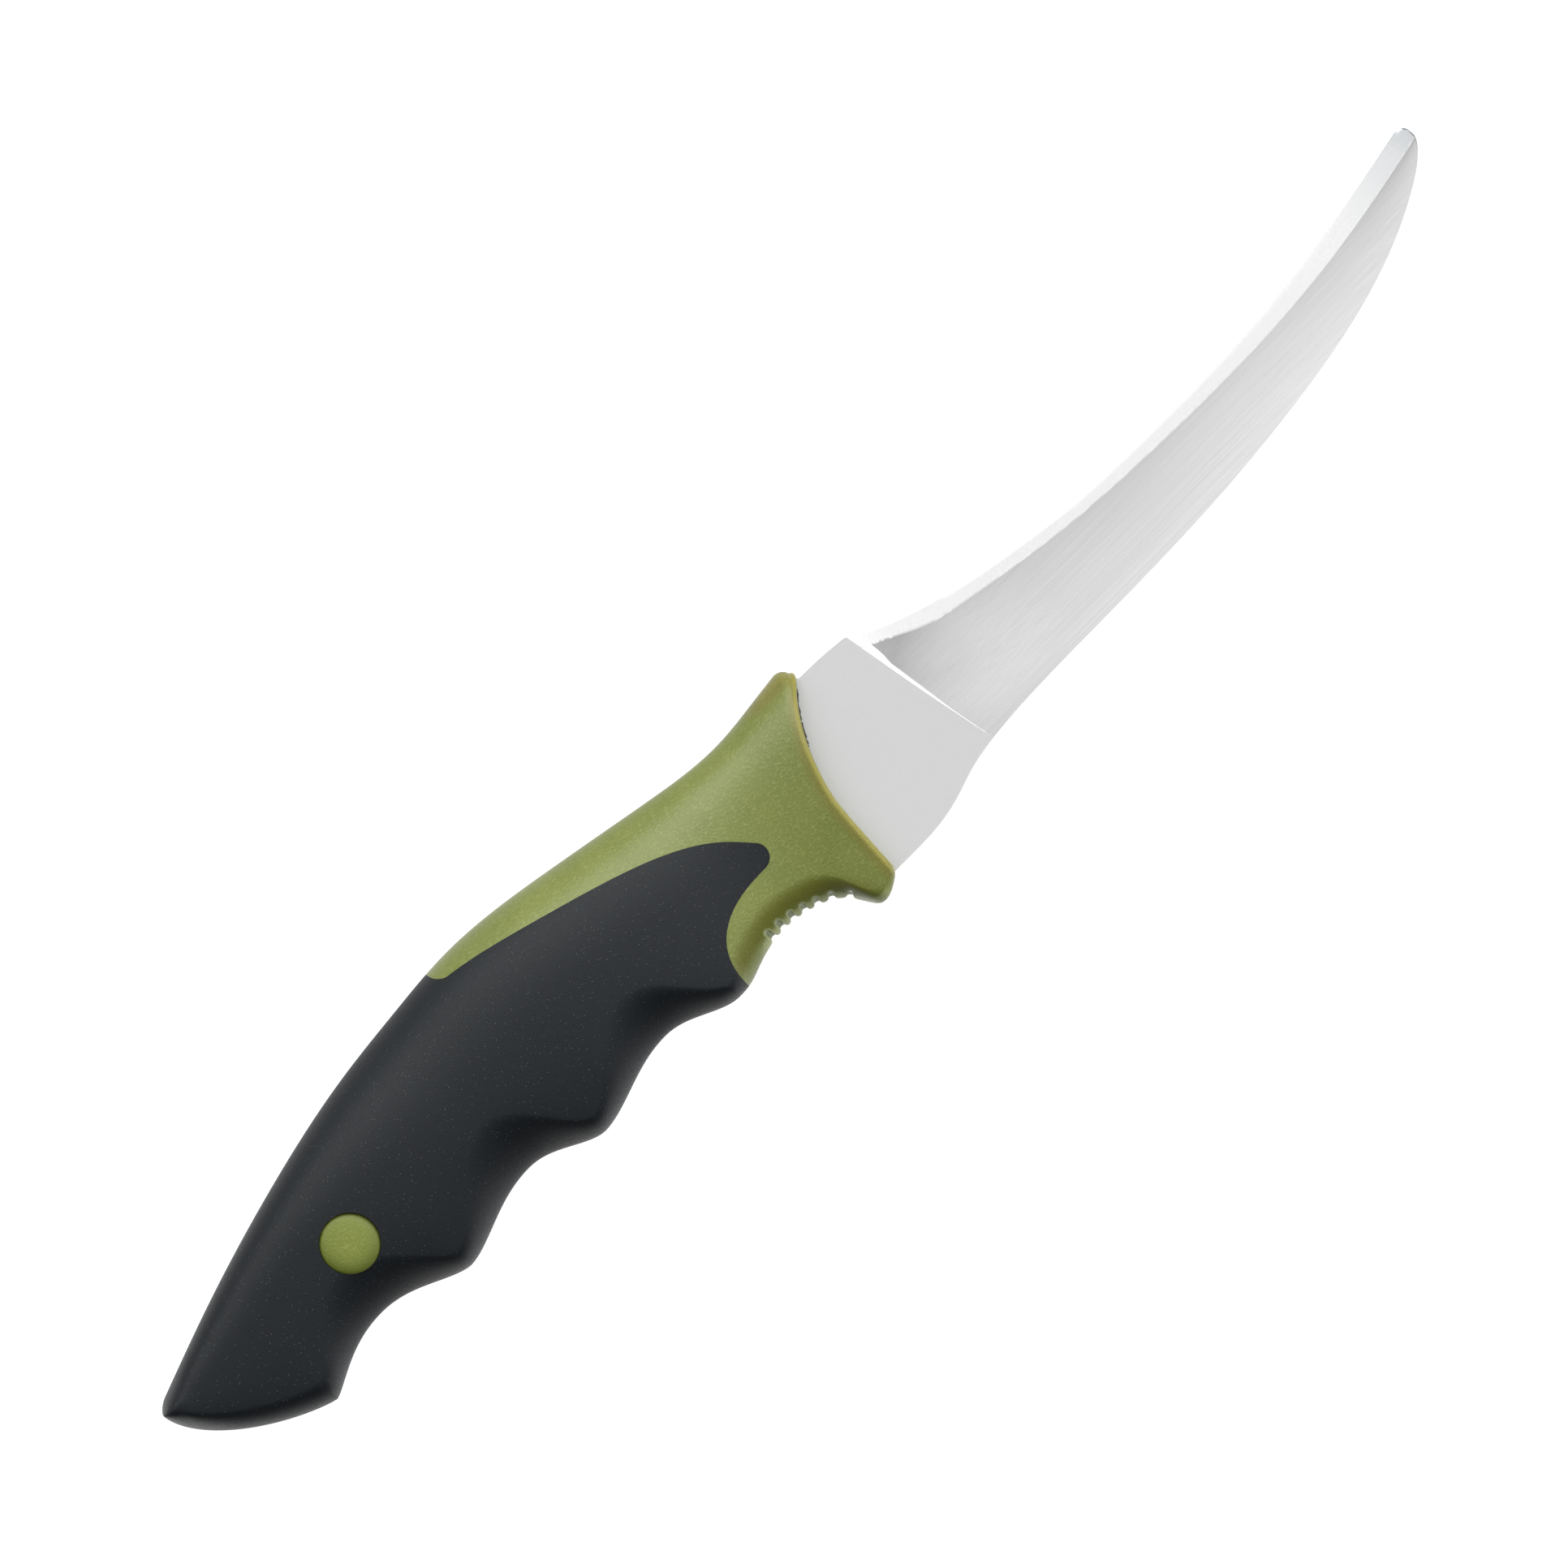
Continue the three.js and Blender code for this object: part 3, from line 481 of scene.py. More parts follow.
def add_node(finish, kind, inputs, **settings):
    """A node of a material, with its settings and its inputs: values, or outputs of other nodes."""
    tree = finish.node_tree
    node = tree.nodes.new(kind)
    for name, value in settings.items():
        setattr(node, name, value)
    for name, value in inputs.items():
        if isinstance(value, bpy.types.NodeSocket):
            tree.links.new(value, node.inputs[name])
        else:
            node.inputs[name].default_value = value
    return node


def grain(finish, size, detail=2.0, stretch=(1, 1, 1)):
    """Noise of a given grain size in millimetres, stretched along the axes, as a value from 0 to 1."""
    place = add_node(finish, "ShaderNodeTexCoord", {})
    scale = [1 / (size * MM * s) for s in stretch]
    mapping = add_node(finish, "ShaderNodeMapping", {"Vector": place.outputs["Object"], "Scale": scale})
    inputs = {"Vector": mapping.outputs[0], "Scale": 1.0, "Detail": detail}
    return add_node(finish, "ShaderNodeTexNoise", inputs).outputs["Fac"]


def spread(finish, value, low, high, start=0.3, end=0.7):
    """A value from start to end spread over low to high."""
    inputs = {"Value": value, "From Min": start, "From Max": end, "To Min": low, "To Max": high}
    return add_node(finish, "ShaderNodeMapRange", inputs).outputs["Result"]


def wire(finish, output, socket):
    finish.node_tree.links.new(output, socket)


def tint(finish, value, start, end):
    """A colour that goes from one to another as a value goes from 0 to 1."""
    mix = add_node(finish, "ShaderNodeMix", {}, data_type="RGBA")
    # The mix node has its factor first, and its two colours after those for numbers and vectors.
    factor, low, high = mix.inputs[0], mix.inputs[6], mix.inputs[7]
    wire(finish, value, factor)
    for socket, colour in ((low, start), (high, end)):
        if isinstance(colour, bpy.types.NodeSocket):
            wire(finish, colour, socket)
        else:
            socket.default_value = (*colour, 1)
    return mix.outputs[2]


def bumped(finish, shader, height, depth, strength=1.0):
    """Raises the surface by a height of the given depth in millimetres."""
    inputs = {"Height": height, "Distance": depth * MM, "Strength": strength}
    bump = add_node(finish, "ShaderNodeBump", inputs)
    wire(finish, bump.outputs["Normal"], shader.inputs["Normal"])


def painted(finish, name):
    return add_node(finish, "ShaderNodeAttribute", {}, attribute_name=name).outputs["Fac"]


def product(finish, first, second):
    return add_node(finish, "ShaderNodeMath", {0: first, 1: second}, operation="MULTIPLY").outputs[0]


STEEL = (0.68, 0.68, 0.68)
SATIN_STEEL = ((0.655, 0.655, 0.66), (0.69, 0.69, 0.69))
BRUSHED_STEEL = ((0.61, 0.61, 0.61), (0.75, 0.75, 0.75))
HONED_STEEL = ((0.605, 0.605, 0.605), (0.645, 0.645, 0.645))
RESIDUE_GREY = (0.06, 0.06, 0.055)
# Colours of the painted shade on the flank and on the bevel.
SHADED_FLANK = (0.38, 0.38, 0.38)
SHADED_BEVEL = (0.4, 0.415, 0.43)
satin, shader = new_finish("satin_steel", STEEL, roughness=0.36, metallic=1.0)
haze = grain(satin, size=0.6, detail=4.0)
wire(satin, spread(satin, haze, low=0.33, high=0.4), shader.inputs["Roughness"])
clean = tint(satin, haze, *SATIN_STEEL)
clots = product(satin, painted(satin, "residue"), grain(satin, size=0.35, detail=3.0))
crumbs = spread(satin, clots, low=0, high=1, start=0.26, end=0.36)
wire(satin, tint(satin, crumbs, clean, RESIDUE_GREY), shader.inputs["Base Color"])
bumped(satin, shader, grain(satin, size=0.08, stretch=(6, 1, 1)), depth=0.002, strength=0.3)

brushed, shader = new_finish("brushed_steel", STEEL, roughness=0.3, metallic=1.0)
strokes = grain(brushed, size=0.11, detail=3.0, stretch=(260, 1, 1))
wire(brushed, spread(brushed, strokes, low=0.24, high=0.38), shader.inputs["Roughness"])
bright = tint(brushed, strokes, *BRUSHED_STEEL)
# Painted shade: the flank darker by the shoulder, the plunge, the tip and the root.
ground = tint(brushed, painted(brushed, "painted_steel_shade"), bright, SHADED_FLANK)
wire(brushed, ground, shader.inputs["Base Color"])
bumped(brushed, shader, strokes, depth=0.004, strength=0.35)

honed, shader = new_finish("honed_steel", STEEL, roughness=0.18, metallic=1.0)
marks = grain(honed, size=0.09, detail=3.0, stretch=(1, 40, 1))
wire(honed, spread(honed, marks, low=0.14, high=0.26), shader.inputs["Roughness"])
bright = tint(honed, marks, *HONED_STEEL)
# Painted shade: the bevel darker and bluer towards the tip.
ground = tint(honed, painted(honed, "painted_steel_shade"), bright, SHADED_BEVEL)
wire(honed, ground, shader.inputs["Base Color"])

SATIN, BRUSHED, HONED = range(3)
for finish in (satin, brushed, honed):
    blade.data.materials.append(finish)
for face in blade.data.polygons:
    place = (face.center - datum) / MM
    top = upper_line(place.x)
    share = within((top - place.y) / (top - lower_line(place.x)), 0, 1)
    if place.x < RICASSO_LENGTH + PLUNGE_LEAN * share:
        face.material_index = SATIN
    else:
        face.material_index = HONED if place.y > shoulder(place.x) else BRUSHED
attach(blade, "root")
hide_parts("blade")

# Hard core of the handle. Green polypropylene with a fine spark-eroded grain, moulded round the tang: the
# bolster with its hollow front and round rim, the guard, the jimped index groove and the back strip.
HEEL = -119.59
LAST_CREST = -102.2
FIRST_CREST = -29.3
FINGER_PITCH = 24.3
CREST_DEPTH = 10.3
# The finger grooves from the front: depth, place of the floor, power of the front and of the rear wall, and
# the depth of the scoop over them.
GROOVES = (
    (3.2, 0.42, 0.9, 0.88, 7.5),
    (3.6, 0.42, 0.86, 0.82, 8.2),
    (3.85, 0.51, 0.8, 0.64, 7.5),
)
HEEL_HEIGHT = 3.9
HEEL_ROUND = 1.8
HORN_PLACE = 3.0
HORN_HEIGHT = 15.8
HORN_ROUND = 1.7
HORN_LIMIT = 0.95
GUARD_FRONT = -3.4
NOSE_PLACE = -15.2
FACE_ROUND = 0.8
BUTT_END_SHARE = 0.78
BUTT_ROUND = 3.2
BUTT_SCOOP = 3.2
BUTT_SLANT_POWER = 0.62
BUTT_RISE_POWER = 1.2
HEEL_BLEND = 7.0
HEEL_SHARE = 0.9
BACK_POWER = 2.4
HEEL_POWER = 3.6
HEEL_POWER_ALONG = (62, 112)
SCOOP_POWER = 1.6
ROUND_POWER = 2.0
CREST_SCOOP = 2.2
CREST_SCOOP_REAR = 2
CREST_SCOOP_FRONT = 3
INDEX_SCOOP = 4.2
INDEX_BLEND = 3.6
SCOOP_LIMIT = 0.8
HEEL_SCOOP_LIMIT = 0.98
INDEX_FRONT = -9.6
BEAK_BACK = -9.6
BEAK_FRONT = -5.2
BEAK_SCOOP = 1.6
BEAK_SHARE = 0.17
GROOVE_SHARE = 0.55
CREST_SHARE = 0.5
INDEX_SHARE = 0.4
CREST_BLEND = 1.6
FLOOR_POWER = 0.8
MIDDLE_SHARE = 0.5
REAR_MIDDLE_SHARE = 0.6
REAR_MIDDLE_ALONG = (65, 95)
SIDE_CROWN = 0.1
REAR_CROWN = 0.17
REAR_CROWN_START = (45, 55)
REAR_CROWN_END = (82, 98)
JIMP_COUNT = 7
JIMP_START = -20.7
JIMP_PITCH = 1.74
JIMP_HALF_WIDTH = 0.42
JIMP_DEPTH = 0.5
JIMP_REAR_SLOPE = 0.15
JIMP_FRONT_SLOPE = 0.07
JIMP_POWER = 3.0
JIMP_RIM = 0.1
TOOTH_ROUND = 0.4
UPPER_STEPS = 28
SIDE_STEPS = 8
SCOOP_STEPS = 36
WALL_STEPS = 4
BEND_PASSES = 8
TINY = 1e-9
MOULDING_CREASE = 30

back_line = drawn_line(
    (-119.7, 4.8), (-105, 10.15), (-90, 14.65), (-72, 18.5), (-62, 19.65), (-52, 20.39), (-36, 18.7),
    (-20, 15.85), (-8.5, 14.6), (0, 15.45), (3, 15.8),
)
index_line = drawn_line(
    (-29.3, -10.3), (-27.2, -10.15), (-24, -9.1), (-18.7, -8.2), (-14, -9.05), (-12, -9.9), (-10, -11.7),
    (-8.9, -13.4), (-8.1, -14.45), (-7.2, -14.79), (-4.9, -13.95), (-3.4, -12.9),
)
thickness_line = drawn_line(
    (-119.7, 9.7), (-105, 10.85), (-88, 11.8), (-62, 12.29), (-40, 11.6), (-26, 9.85), (-12.5, 8.1),
    (-2.4, 9),
)


def back(x):
    """Height of the back, rounded off at the heel and over the horn in front."""
    if x > HORN_PLACE:
        ahead = min(x - HORN_PLACE, HORN_LIMIT * HORN_ROUND)
        return HORN_HEIGHT - HORN_ROUND + math.sqrt(HORN_ROUND**2 - ahead**2)
    ahead = within((x - HEEL) / HEEL_ROUND, 0, 1)
    return between(HEEL_HEIGHT, back_line(x), math.sqrt(1 - (1 - ahead) ** 2))


def crest_share(x):
    """0 on the floor of a finger groove and 1 on its crests, with the groove's depth and its scoop's."""
    behind = within((FIRST_CREST - x) / FINGER_PITCH, 0, len(GROOVES) - TINY)
    depth, floor, front, rear, scooped = GROOVES[int(behind)]
    along = behind % 1
    rise = (along / floor) ** front if along < floor else ((1 - along) / (1 - floor)) ** rear
    return math.cos(math.pi / 2 * rise) ** 2, depth, scooped


def butt_line(x):
    along = within((x - HEEL) / (LAST_CREST - HEEL), 0, 1)
    return between(-CREST_DEPTH, HEEL_HEIGHT, (1 - along**BUTT_SLANT_POWER) ** BUTT_RISE_POWER)


def belly(x):
    """Height of the underside: the slanting butt, the finger grooves, the index groove and the guard."""
    if x < LAST_CREST:
        return butt_line(x)
    if x > FIRST_CREST:
        return index_line(min(x, GUARD_FRONT))
    crest, depth, _ = crest_share(x)
    return depth * (1 - crest) - CREST_DEPTH


def half_thickness(x):
    ahead = within((x - HEEL) / BUTT_ROUND, 0, 1)
    return thickness_line(x) * between(BUTT_END_SHARE, 1, math.sqrt(1 - (1 - ahead) ** 2))


def floor_share(x):
    """0 at a crest and at the butt, 1 on the floor of a finger groove."""
    return 1 - crest_share(x)[0] if LAST_CREST < x < FIRST_CREST else 0


def scoop(x):
    """The rounding between side and underside: its depth, its share of the thickness and its power."""
    if x < FIRST_CREST:
        floors = [floor_share(x + shift) for shift in (-CREST_BLEND, 0, CREST_BLEND)]
        share = (sum(floors) / len(floors)) ** FLOOR_POWER
        past_butt = eased(x, LAST_CREST - CREST_SCOOP_REAR, LAST_CREST + CREST_SCOOP_FRONT)
        crest = between(BUTT_SCOOP, CREST_SCOOP, past_butt)
        depth = between(crest, crest_share(x)[2], share)
        return depth, between(CREST_SHARE, GROOVE_SHARE, share), between(ROUND_POWER, SCOOP_POWER, share)
    share = eased(x, FIRST_CREST, FIRST_CREST + INDEX_BLEND)
    depth = between(CREST_SCOOP, INDEX_SCOOP, share)
    reach = between(CREST_SHARE, INDEX_SHARE, share)
    beak = eased(x, BEAK_BACK, BEAK_FRONT)
    power = between(ROUND_POWER, SCOOP_POWER, share * (1 - beak))
    return between(depth, BEAK_SCOOP, beak), between(reach, BEAK_SHARE, beak), power


def jimp_frame(i, x, y):
    """A point's place along the index groove from a notch's middle, its height above it, and the lean."""
    middle = JIMP_START + i * JIMP_PITCH
    lean = math.atan(rise_at(belly, middle))
    along = (x - middle) * math.cos(lean) + (y - belly(middle)) * math.sin(lean)
    height = (y - belly(middle)) * math.cos(lean) - (x - middle) * math.sin(lean)
    return along, height, lean


def jimp_slope(i):
    return between(JIMP_REAR_SLOPE, JIMP_FRONT_SLOPE, i / (JIMP_COUNT - 1))


def jimped(x, y, z):
    """A point of the underside after the notches of the index groove, which run across it and slope in."""
    for i in range(JIMP_COUNT):
        along, height, lean = jimp_frame(i, x, y)
        tooth = within((TOOTH_ROUND + JIMP_HALF_WIDTH - abs(along)) / TOOTH_ROUND, 0, 1)
        if tooth > 0:
            rounding = TOOTH_ROUND * (1 - math.sqrt(1 - tooth**2))
            wall = max(1 - (abs(along) / JIMP_HALF_WIDTH) ** JIMP_POWER, 0) ** (1 / JIMP_POWER)
            above = max((JIMP_DEPTH + jimp_slope(i) * abs(z)) * wall, rounding) - height
            lift = (above + math.hypot(above, JIMP_RIM * tooth)) / 2
            x -= lift * math.sin(lean)
            y += lift * math.cos(lean)
    return x, y, z


def handle_ring(place, inset=0.0, squeeze=1.0):
    """A ring round the handle. Towards the front the rings take on the hollow of the bolster's face."""
    front = bolster_face(0)
    follow = eased(place, NOSE_PLACE, front - FACE_ROUND)

    def bent(y):
        return place + follow * (bolster_face(y) - front)

    high, low = back(place), belly(place)
    for _ in range(BEND_PASSES):
        high, low = back(bent(high)), belly(bent(low))
    high -= inset
    low += inset
    middle_share = between(MIDDLE_SHARE, REAR_MIDDLE_SHARE, eased(-place, *REAR_MIDDLE_ALONG))
    middle = between(butt_line(place), back(place), middle_share)
    half = half_thickness(place) - inset
    depth, share, power = scoop(place)
    heel = 1 - eased(place, HEEL, HEEL + HEEL_BLEND)
    share = between(share, HEEL_SHARE, heel)
    depth = min(depth, between(SCOOP_LIMIT, HEEL_SCOOP_LIMIT, heel) * (middle - low))
    side = []
    back_power = between(BACK_POWER, HEEL_POWER, eased(-place, *HEEL_POWER_ALONG))
    back_power = between(back_power, ROUND_POWER, heel)
    for turn in steps(0, math.pi / 2, UPPER_STEPS):
        y = middle + (high - middle) * max(math.cos(turn), 0) ** (2 / back_power)
        side.append((y, half * math.sin(turn) ** (2 / back_power)))
    rear = eased(-place, *REAR_CROWN_START) * (1 - eased(-place, *REAR_CROWN_END))
    crown = between(SIDE_CROWN, REAR_CROWN, rear) * half

    def crowned(y):
        return half - crown * ((middle - y) / (middle - low + TINY)) ** 2

    for along in steps(0, 1, SIDE_STEPS)[1:]:
        y = between(middle, low + depth, along)
        side.append((y, crowned(y)))
    reach = share * (half - crown)
    for turn in steps(0, math.pi / 2, SCOOP_STEPS)[1:]:
        y = low + depth * (1 - math.sin(turn) ** (2 / power))
        side.append((y, crowned(y) - reach * (1 - max(math.cos(turn), 0) ** (2 / power))))
    for along in steps(0, 1, WALL_STEPS)[1:]:
        side.append((low, (half - crown - reach) * (1 - along)))
    ring = []
    for y, z in side + [(y, -z) for y, z in side[-2:0:-1]]:
        point = (bent(y), y, z)
        if FIRST_CREST < place < GUARD_FRONT and y < middle:
            point = jimped(*point)
        ring.append((point[0], point[1], point[2] * squeeze))
    return ring


BUTT_RINGS = 40
GROOVE_RINGS = 108
INDEX_RINGS = 12
JIMP_RINGS = 132
GUARD_RINGS = 40
FACE_RINGS = 6
JIMP_REAR = -21.8
JIMP_FRONT = -8.6
face_place = bolster_face(0)
places = [between(HEEL, LAST_CREST, share**2) for share in steps(0, 1, BUTT_RINGS)[:-1]]
places += steps(LAST_CREST, FIRST_CREST, GROOVE_RINGS)
places += steps(FIRST_CREST, JIMP_REAR, INDEX_RINGS)[1:]
places += steps(JIMP_REAR, JIMP_FRONT, JIMP_RINGS)[1:]
places += steps(JIMP_FRONT, face_place - FACE_ROUND, GUARD_RINGS)[1:]
handle_rings = [handle_ring(place) for place in places]
for turn in steps(0, math.pi / 2, FACE_RINGS)[1:]:
    inset = FACE_ROUND * (1 - math.cos(turn))
    handle_rings.append(handle_ring(face_place - FACE_ROUND * (1 - math.sin(turn)), inset))
handle_rings += [handle_ring(face_place, FACE_ROUND, squeeze) for squeeze in (0.66, 0.33, 0)]
core = wrap_grid("hard_core", handle_rings)


def seam_line():
    """The seam between the two materials in side view, from the back to the belly: round the end of the
    strip, along it, round the nose and down the scallop behind the index groove."""
    strip_end, strip_depth = -53.4, 2.3
    nose_height, nose_radius, nose_turn = 0.95, 1.9, math.radians(50)
    scallop_foot, scallop_power = FIRST_CREST + 1.9, 0.8
    end_steps, strip_steps, nose_steps, scallop_steps = 8, 60, 16, 32
    seam = []
    for turn in steps(math.pi, 1.5 * math.pi, end_steps):
        x = strip_end + strip_depth * math.cos(turn)
        seam.append((x, back(strip_end) + strip_depth * math.sin(turn)))
    join = NOSE_PLACE + nose_radius * math.cos(nose_turn)
    drop = back(join) - nose_height - nose_radius * math.sin(nose_turn)
    shares = ((0, 0), (0.29, 0.184), (0.594, 0.33), (0.797, 0.5), (0.898, 0.67), (0.949, 0.81), (1, 1))
    below = drawn_line(*(
        (between(strip_end, join, along), between(strip_depth, drop, down)) for along, down in shares
    ))
    seam += [(x, back(x) - below(x)) for x in steps(strip_end, join, strip_steps)[1:]]
    for turn in steps(nose_turn, -math.pi / 2, nose_steps)[1:]:
        x = NOSE_PLACE + nose_radius * math.cos(turn)
        seam.append((x, nose_height + nose_radius * math.sin(turn)))
    drop = nose_height - nose_radius + CREST_DEPTH
    for turn in steps(0, math.pi / 2, scallop_steps)[1:]:
        x = between(NOSE_PLACE, scallop_foot, math.sin(turn) ** scallop_power)
        seam.append((x, drop * max(math.cos(turn), 0) ** scallop_power - CREST_DEPTH))
    return seam


BLOCK_REACH = 60.0
seam = seam_line()
outline = [
    (HEEL - BLOCK_REACH, BLOCK_REACH),
    (seam[0][0], BLOCK_REACH),
    *seam,
    (seam[-1][0], -BLOCK_REACH),
    (HEEL - BLOCK_REACH, -BLOCK_REACH),
]
bpy.ops.object.select_all(action="DESELECT")
bpy.ops.mesh.primitive_circle_add(vertices=len(outline), fill_type="NGON")
seam_block = bpy.context.active_object
for vertex, (x, y) in zip(seam_block.data.vertices, outline):
    vertex.co = Vector((x, y, -BLOCK_REACH)) * MM
bpy.ops.object.mode_set(mode="EDIT")
bpy.ops.mesh.select_all(action="SELECT")
bpy.ops.mesh.extrude_region_move(TRANSFORM_OT_translate={"value": (0, 0, 2 * BLOCK_REACH * MM)})
bpy.ops.mesh.select_all(action="SELECT")
bpy.ops.mesh.normals_make_consistent(inside=False)
bpy.ops.object.mode_set(mode="OBJECT")


def cut(piece, tool, operation):
    """Cuts a piece with a tool, or keeps only what lies inside the tool."""
    bpy.ops.object.select_all(action="DESELECT")
    piece.select_set(True)
    bpy.context.view_layer.objects.active = piece
    modifier = piece.modifiers.new("cut", "BOOLEAN")
    modifier.object = tool
    modifier.operation = operation
    modifier.solver = "EXACT"
    bpy.ops.object.modifier_apply(modifier=modifier.name)


grip = core.copy()
grip.data = core.data.copy()
grip.name = grip.data.name = "soft_sleeve"
bpy.context.scene.collection.objects.link(grip)
cut(core, seam_block, "DIFFERENCE")
seat(core, MOULDING_CREASE)

# Where light and shade are painted into the core's green, in millimetres: behind the bolster's rim and on
# its corners at horn and guard, in and beside the notches, along the lip under them and in the hollow over
# them.
RIM_REACH = 3
RIM_EDGE = (0.002, 0.015)
CORNER_SHARE = 0.75
CORNER_REACH = 8
HORN_CORNER = (11.5, 15)
GUARD_CORNER = (11, 13.5)
NOTCH_END_SHARE = 0.85
NOTCH_FLOOR_BLEND = 0.12
NOTCH_RIM_PLACE = 0.1
NOTCH_RIM_WIDTH = 0.14
LIP_START = (-24, -21)
LIP_END = (-7, -5)
LIP_END_FADE = 0.8
LIP_ABOVE = (0.5, 1.3)
HOLLOW_SHADE_START = (-28.8, -26.5)
HOLLOW_SHADE_END = (-8.5, -5.5)
HOLLOW_SHADE_RISE = (0.8, 1.8)
HOLLOW_SHADE_FALL = (2.5, 4.6)


def painted_rim_light(x, y, z):
    """Painted shade and highlight: 1 on the bolster's rim, 0 on its face, falling behind it, farther at the
    corners.
    """
    behind = bolster_face(y) - x
    corner = max(eased(y, *HORN_CORNER), eased(-y, *GUARD_CORNER)) * (1 - eased(-x, 0, CORNER_REACH))
    return max(1 - behind / RIM_REACH, CORNER_SHARE * corner) * eased(behind, *RIM_EDGE)


def from_notch(x, y, z):
    """How far a point of the index groove lies outside the nearest notch, as seen from the side."""
    nearest = 1.0
    if not FIRST_CREST < x < INDEX_FRONT:
        return nearest
    for i in range(JIMP_COUNT):
        along, height, _ = jimp_frame(i, x, y)
        end = JIMP_DEPTH + jimp_slope(i) * NOTCH_END_SHARE * half_thickness(x) - JIMP_HALF_WIDTH
        nearest = min(nearest, math.hypot(along, max(height - end, 0)) - JIMP_HALF_WIDTH)
    return nearest


# Painted light on the notches' floors.
def painted_notch_light(x, y, z):
    return 1 - eased(from_notch(x, y, z), -NOTCH_FLOOR_BLEND, 0)


# Painted highlight along the rim of each notch.
def notch_rim_highlight(x, y, z):
    return 1 - abs(from_notch(x, y, z) - NOTCH_RIM_PLACE) / NOTCH_RIM_WIDTH


def painted_lip_light(x, y, z):
    """Painted light from below: 1 along the lower lip of the index groove and the guard, falling to 0 above
    it.
    """
    if x >= GUARD_FRONT:
        return 0
    ends = eased(x, *LIP_START) * (1 - LIP_END_FADE * eased(x, *LIP_END))
    return ends * (1 - eased(y - belly(x), *LIP_ABOVE))


def painted_hollow_shade(x, y, z):
    """Painted shade: 1 in the hollow over the index groove, where the green is painted darker and warmer.
    """
    above = y - belly(x)
    ends = eased(x, *HOLLOW_SHADE_START) * (1 - eased(x, *HOLLOW_SHADE_END))
    return ends * eased(above, *HOLLOW_SHADE_RISE) * (1 - eased(above, *HOLLOW_SHADE_FALL))


# Painted light and shade on the core's green.
paint(core, "painted_rim_light", painted_rim_light)
paint(core, "painted_hollow_shade", painted_hollow_shade)
paint(core, "painted_lip_light", painted_lip_light)
paint(core, "painted_notch_light", painted_notch_light)
paint(core, "notch_rim_highlight", notch_rim_highlight)
GREEN = (0.16, 0.19, 0.032)
CLOUDED_GREEN = ((0.135, 0.163, 0.027), (0.16, 0.188, 0.035))
SPARK_GREEN = (0.3, 0.33, 0.12)
HOLLOW_SHADE_GREEN = (0.126, 0.135, 0.018)
RIM_SHADE_BROWN = (0.165, 0.125, 0.014)
RIM_HIGHLIGHT_YELLOW = (0.25, 0.22, 0.012)
LIP_LIGHT_GREEN = (0.38, 0.41, 0.19)
NOTCH_RIM_HIGHLIGHT = (0.36, 0.4, 0.2)
NOTCH_LIGHT_GREEN = (0.3, 0.36, 0.18)
LIGHT_DEPTH = (1.2 * MM, 1.0 * MM, 0.3 * MM)
green, shader = new_finish("hard_green", GREEN, roughness=0.38)
shader.inputs["Subsurface Weight"].default_value = 0.12
shader.inputs["Subsurface Radius"].default_value = LIGHT_DEPTH
shader.inputs["Subsurface Scale"].default_value = 1.0
sparks = grain(green, size=0.28, detail=3.0, stretch=(1.6, 1, 1))
clouds = grain(green, size=9.0)
body = tint(green, spread(green, clouds, low=0, high=1), *CLOUDED_GREEN)
body = tint(green, spread(green, sparks, low=0, high=0.4, start=0.5, end=0.72), body, SPARK_GREEN)
# Painted shade: darker, warmer green in the hollow over the index groove.
body = tint(green, painted(green, "painted_hollow_shade"), body, HOLLOW_SHADE_GREEN)
# Painted shade, brown, behind the bolster's rim, and a painted highlight, yellow, on the rim itself.
rim = painted(green, "painted_rim_light")
body = tint(green, spread(green, rim, low=0, high=0.5, start=0.3, end=0.7), body, RIM_SHADE_BROWN)
body = tint(green, spread(green, rim, low=0, high=0.65, start=0.7, end=0.85), body, RIM_HIGHLIGHT_YELLOW)
# Painted light: paler green along the lip under the notches and the guard.
body = tint(green, painted(green, "painted_lip_light"), body, LIP_LIGHT_GREEN)
in_notch = painted(green, "painted_notch_light")
# Painted highlight: paler green on the notches' rims.
body = tint(green, painted(green, "notch_rim_highlight"), body, NOTCH_RIM_HIGHLIGHT)
# Painted light: the notches' floors paler and greyer than the green.
body = tint(green, in_notch, body, NOTCH_LIGHT_GREEN)
wire(green, body, shader.inputs["Base Color"])
sheen = spread(green, sparks, low=0.26, high=0.42)
in_notch = spread(green, in_notch, low=0, high=0.7, start=0, end=1)
dry = add_node(green, "ShaderNodeMath", {0: sheen, 1: in_notch}, operation="MAXIMUM")
wire(green, dry.outputs[0], shader.inputs["Roughness"])
bumped(green, shader, sparks, depth=0.09, strength=0.6)
core.data.materials.append(green)
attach(core, "root")
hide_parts("handle_core")

# Soft grip. Black thermoplastic rubber moulded over the core in a second shot, flush with it at the seam,
# with three finger grooves, a slanting butt and a round window for a badge in its upper side.
cut(grip, seam_block, "INTERSECT")
bpy.data.objects.remove(seam_block)
BADGE_CENTRE = (-87.0, 2.7)
BADGE_RADIUS = 3.95
BADGE_GAP = 0.03
BADGE_SEAT = 1.4
BADGE_POINTS = 96
WINDOW_REACH = 10.0
badge_surface = half_thickness(BADGE_CENTRE[0])
bpy.ops.object.select_all(action="DESELECT")
bpy.ops.mesh.primitive_cylinder_add(
    vertices=BADGE_POINTS,
    radius=(BADGE_RADIUS + BADGE_GAP) * MM,
    depth=WINDOW_REACH * MM,
    location=Vector((*BADGE_CENTRE, badge_surface - BADGE_SEAT + WINDOW_REACH / 2)) * MM,
)
window = bpy.context.active_object
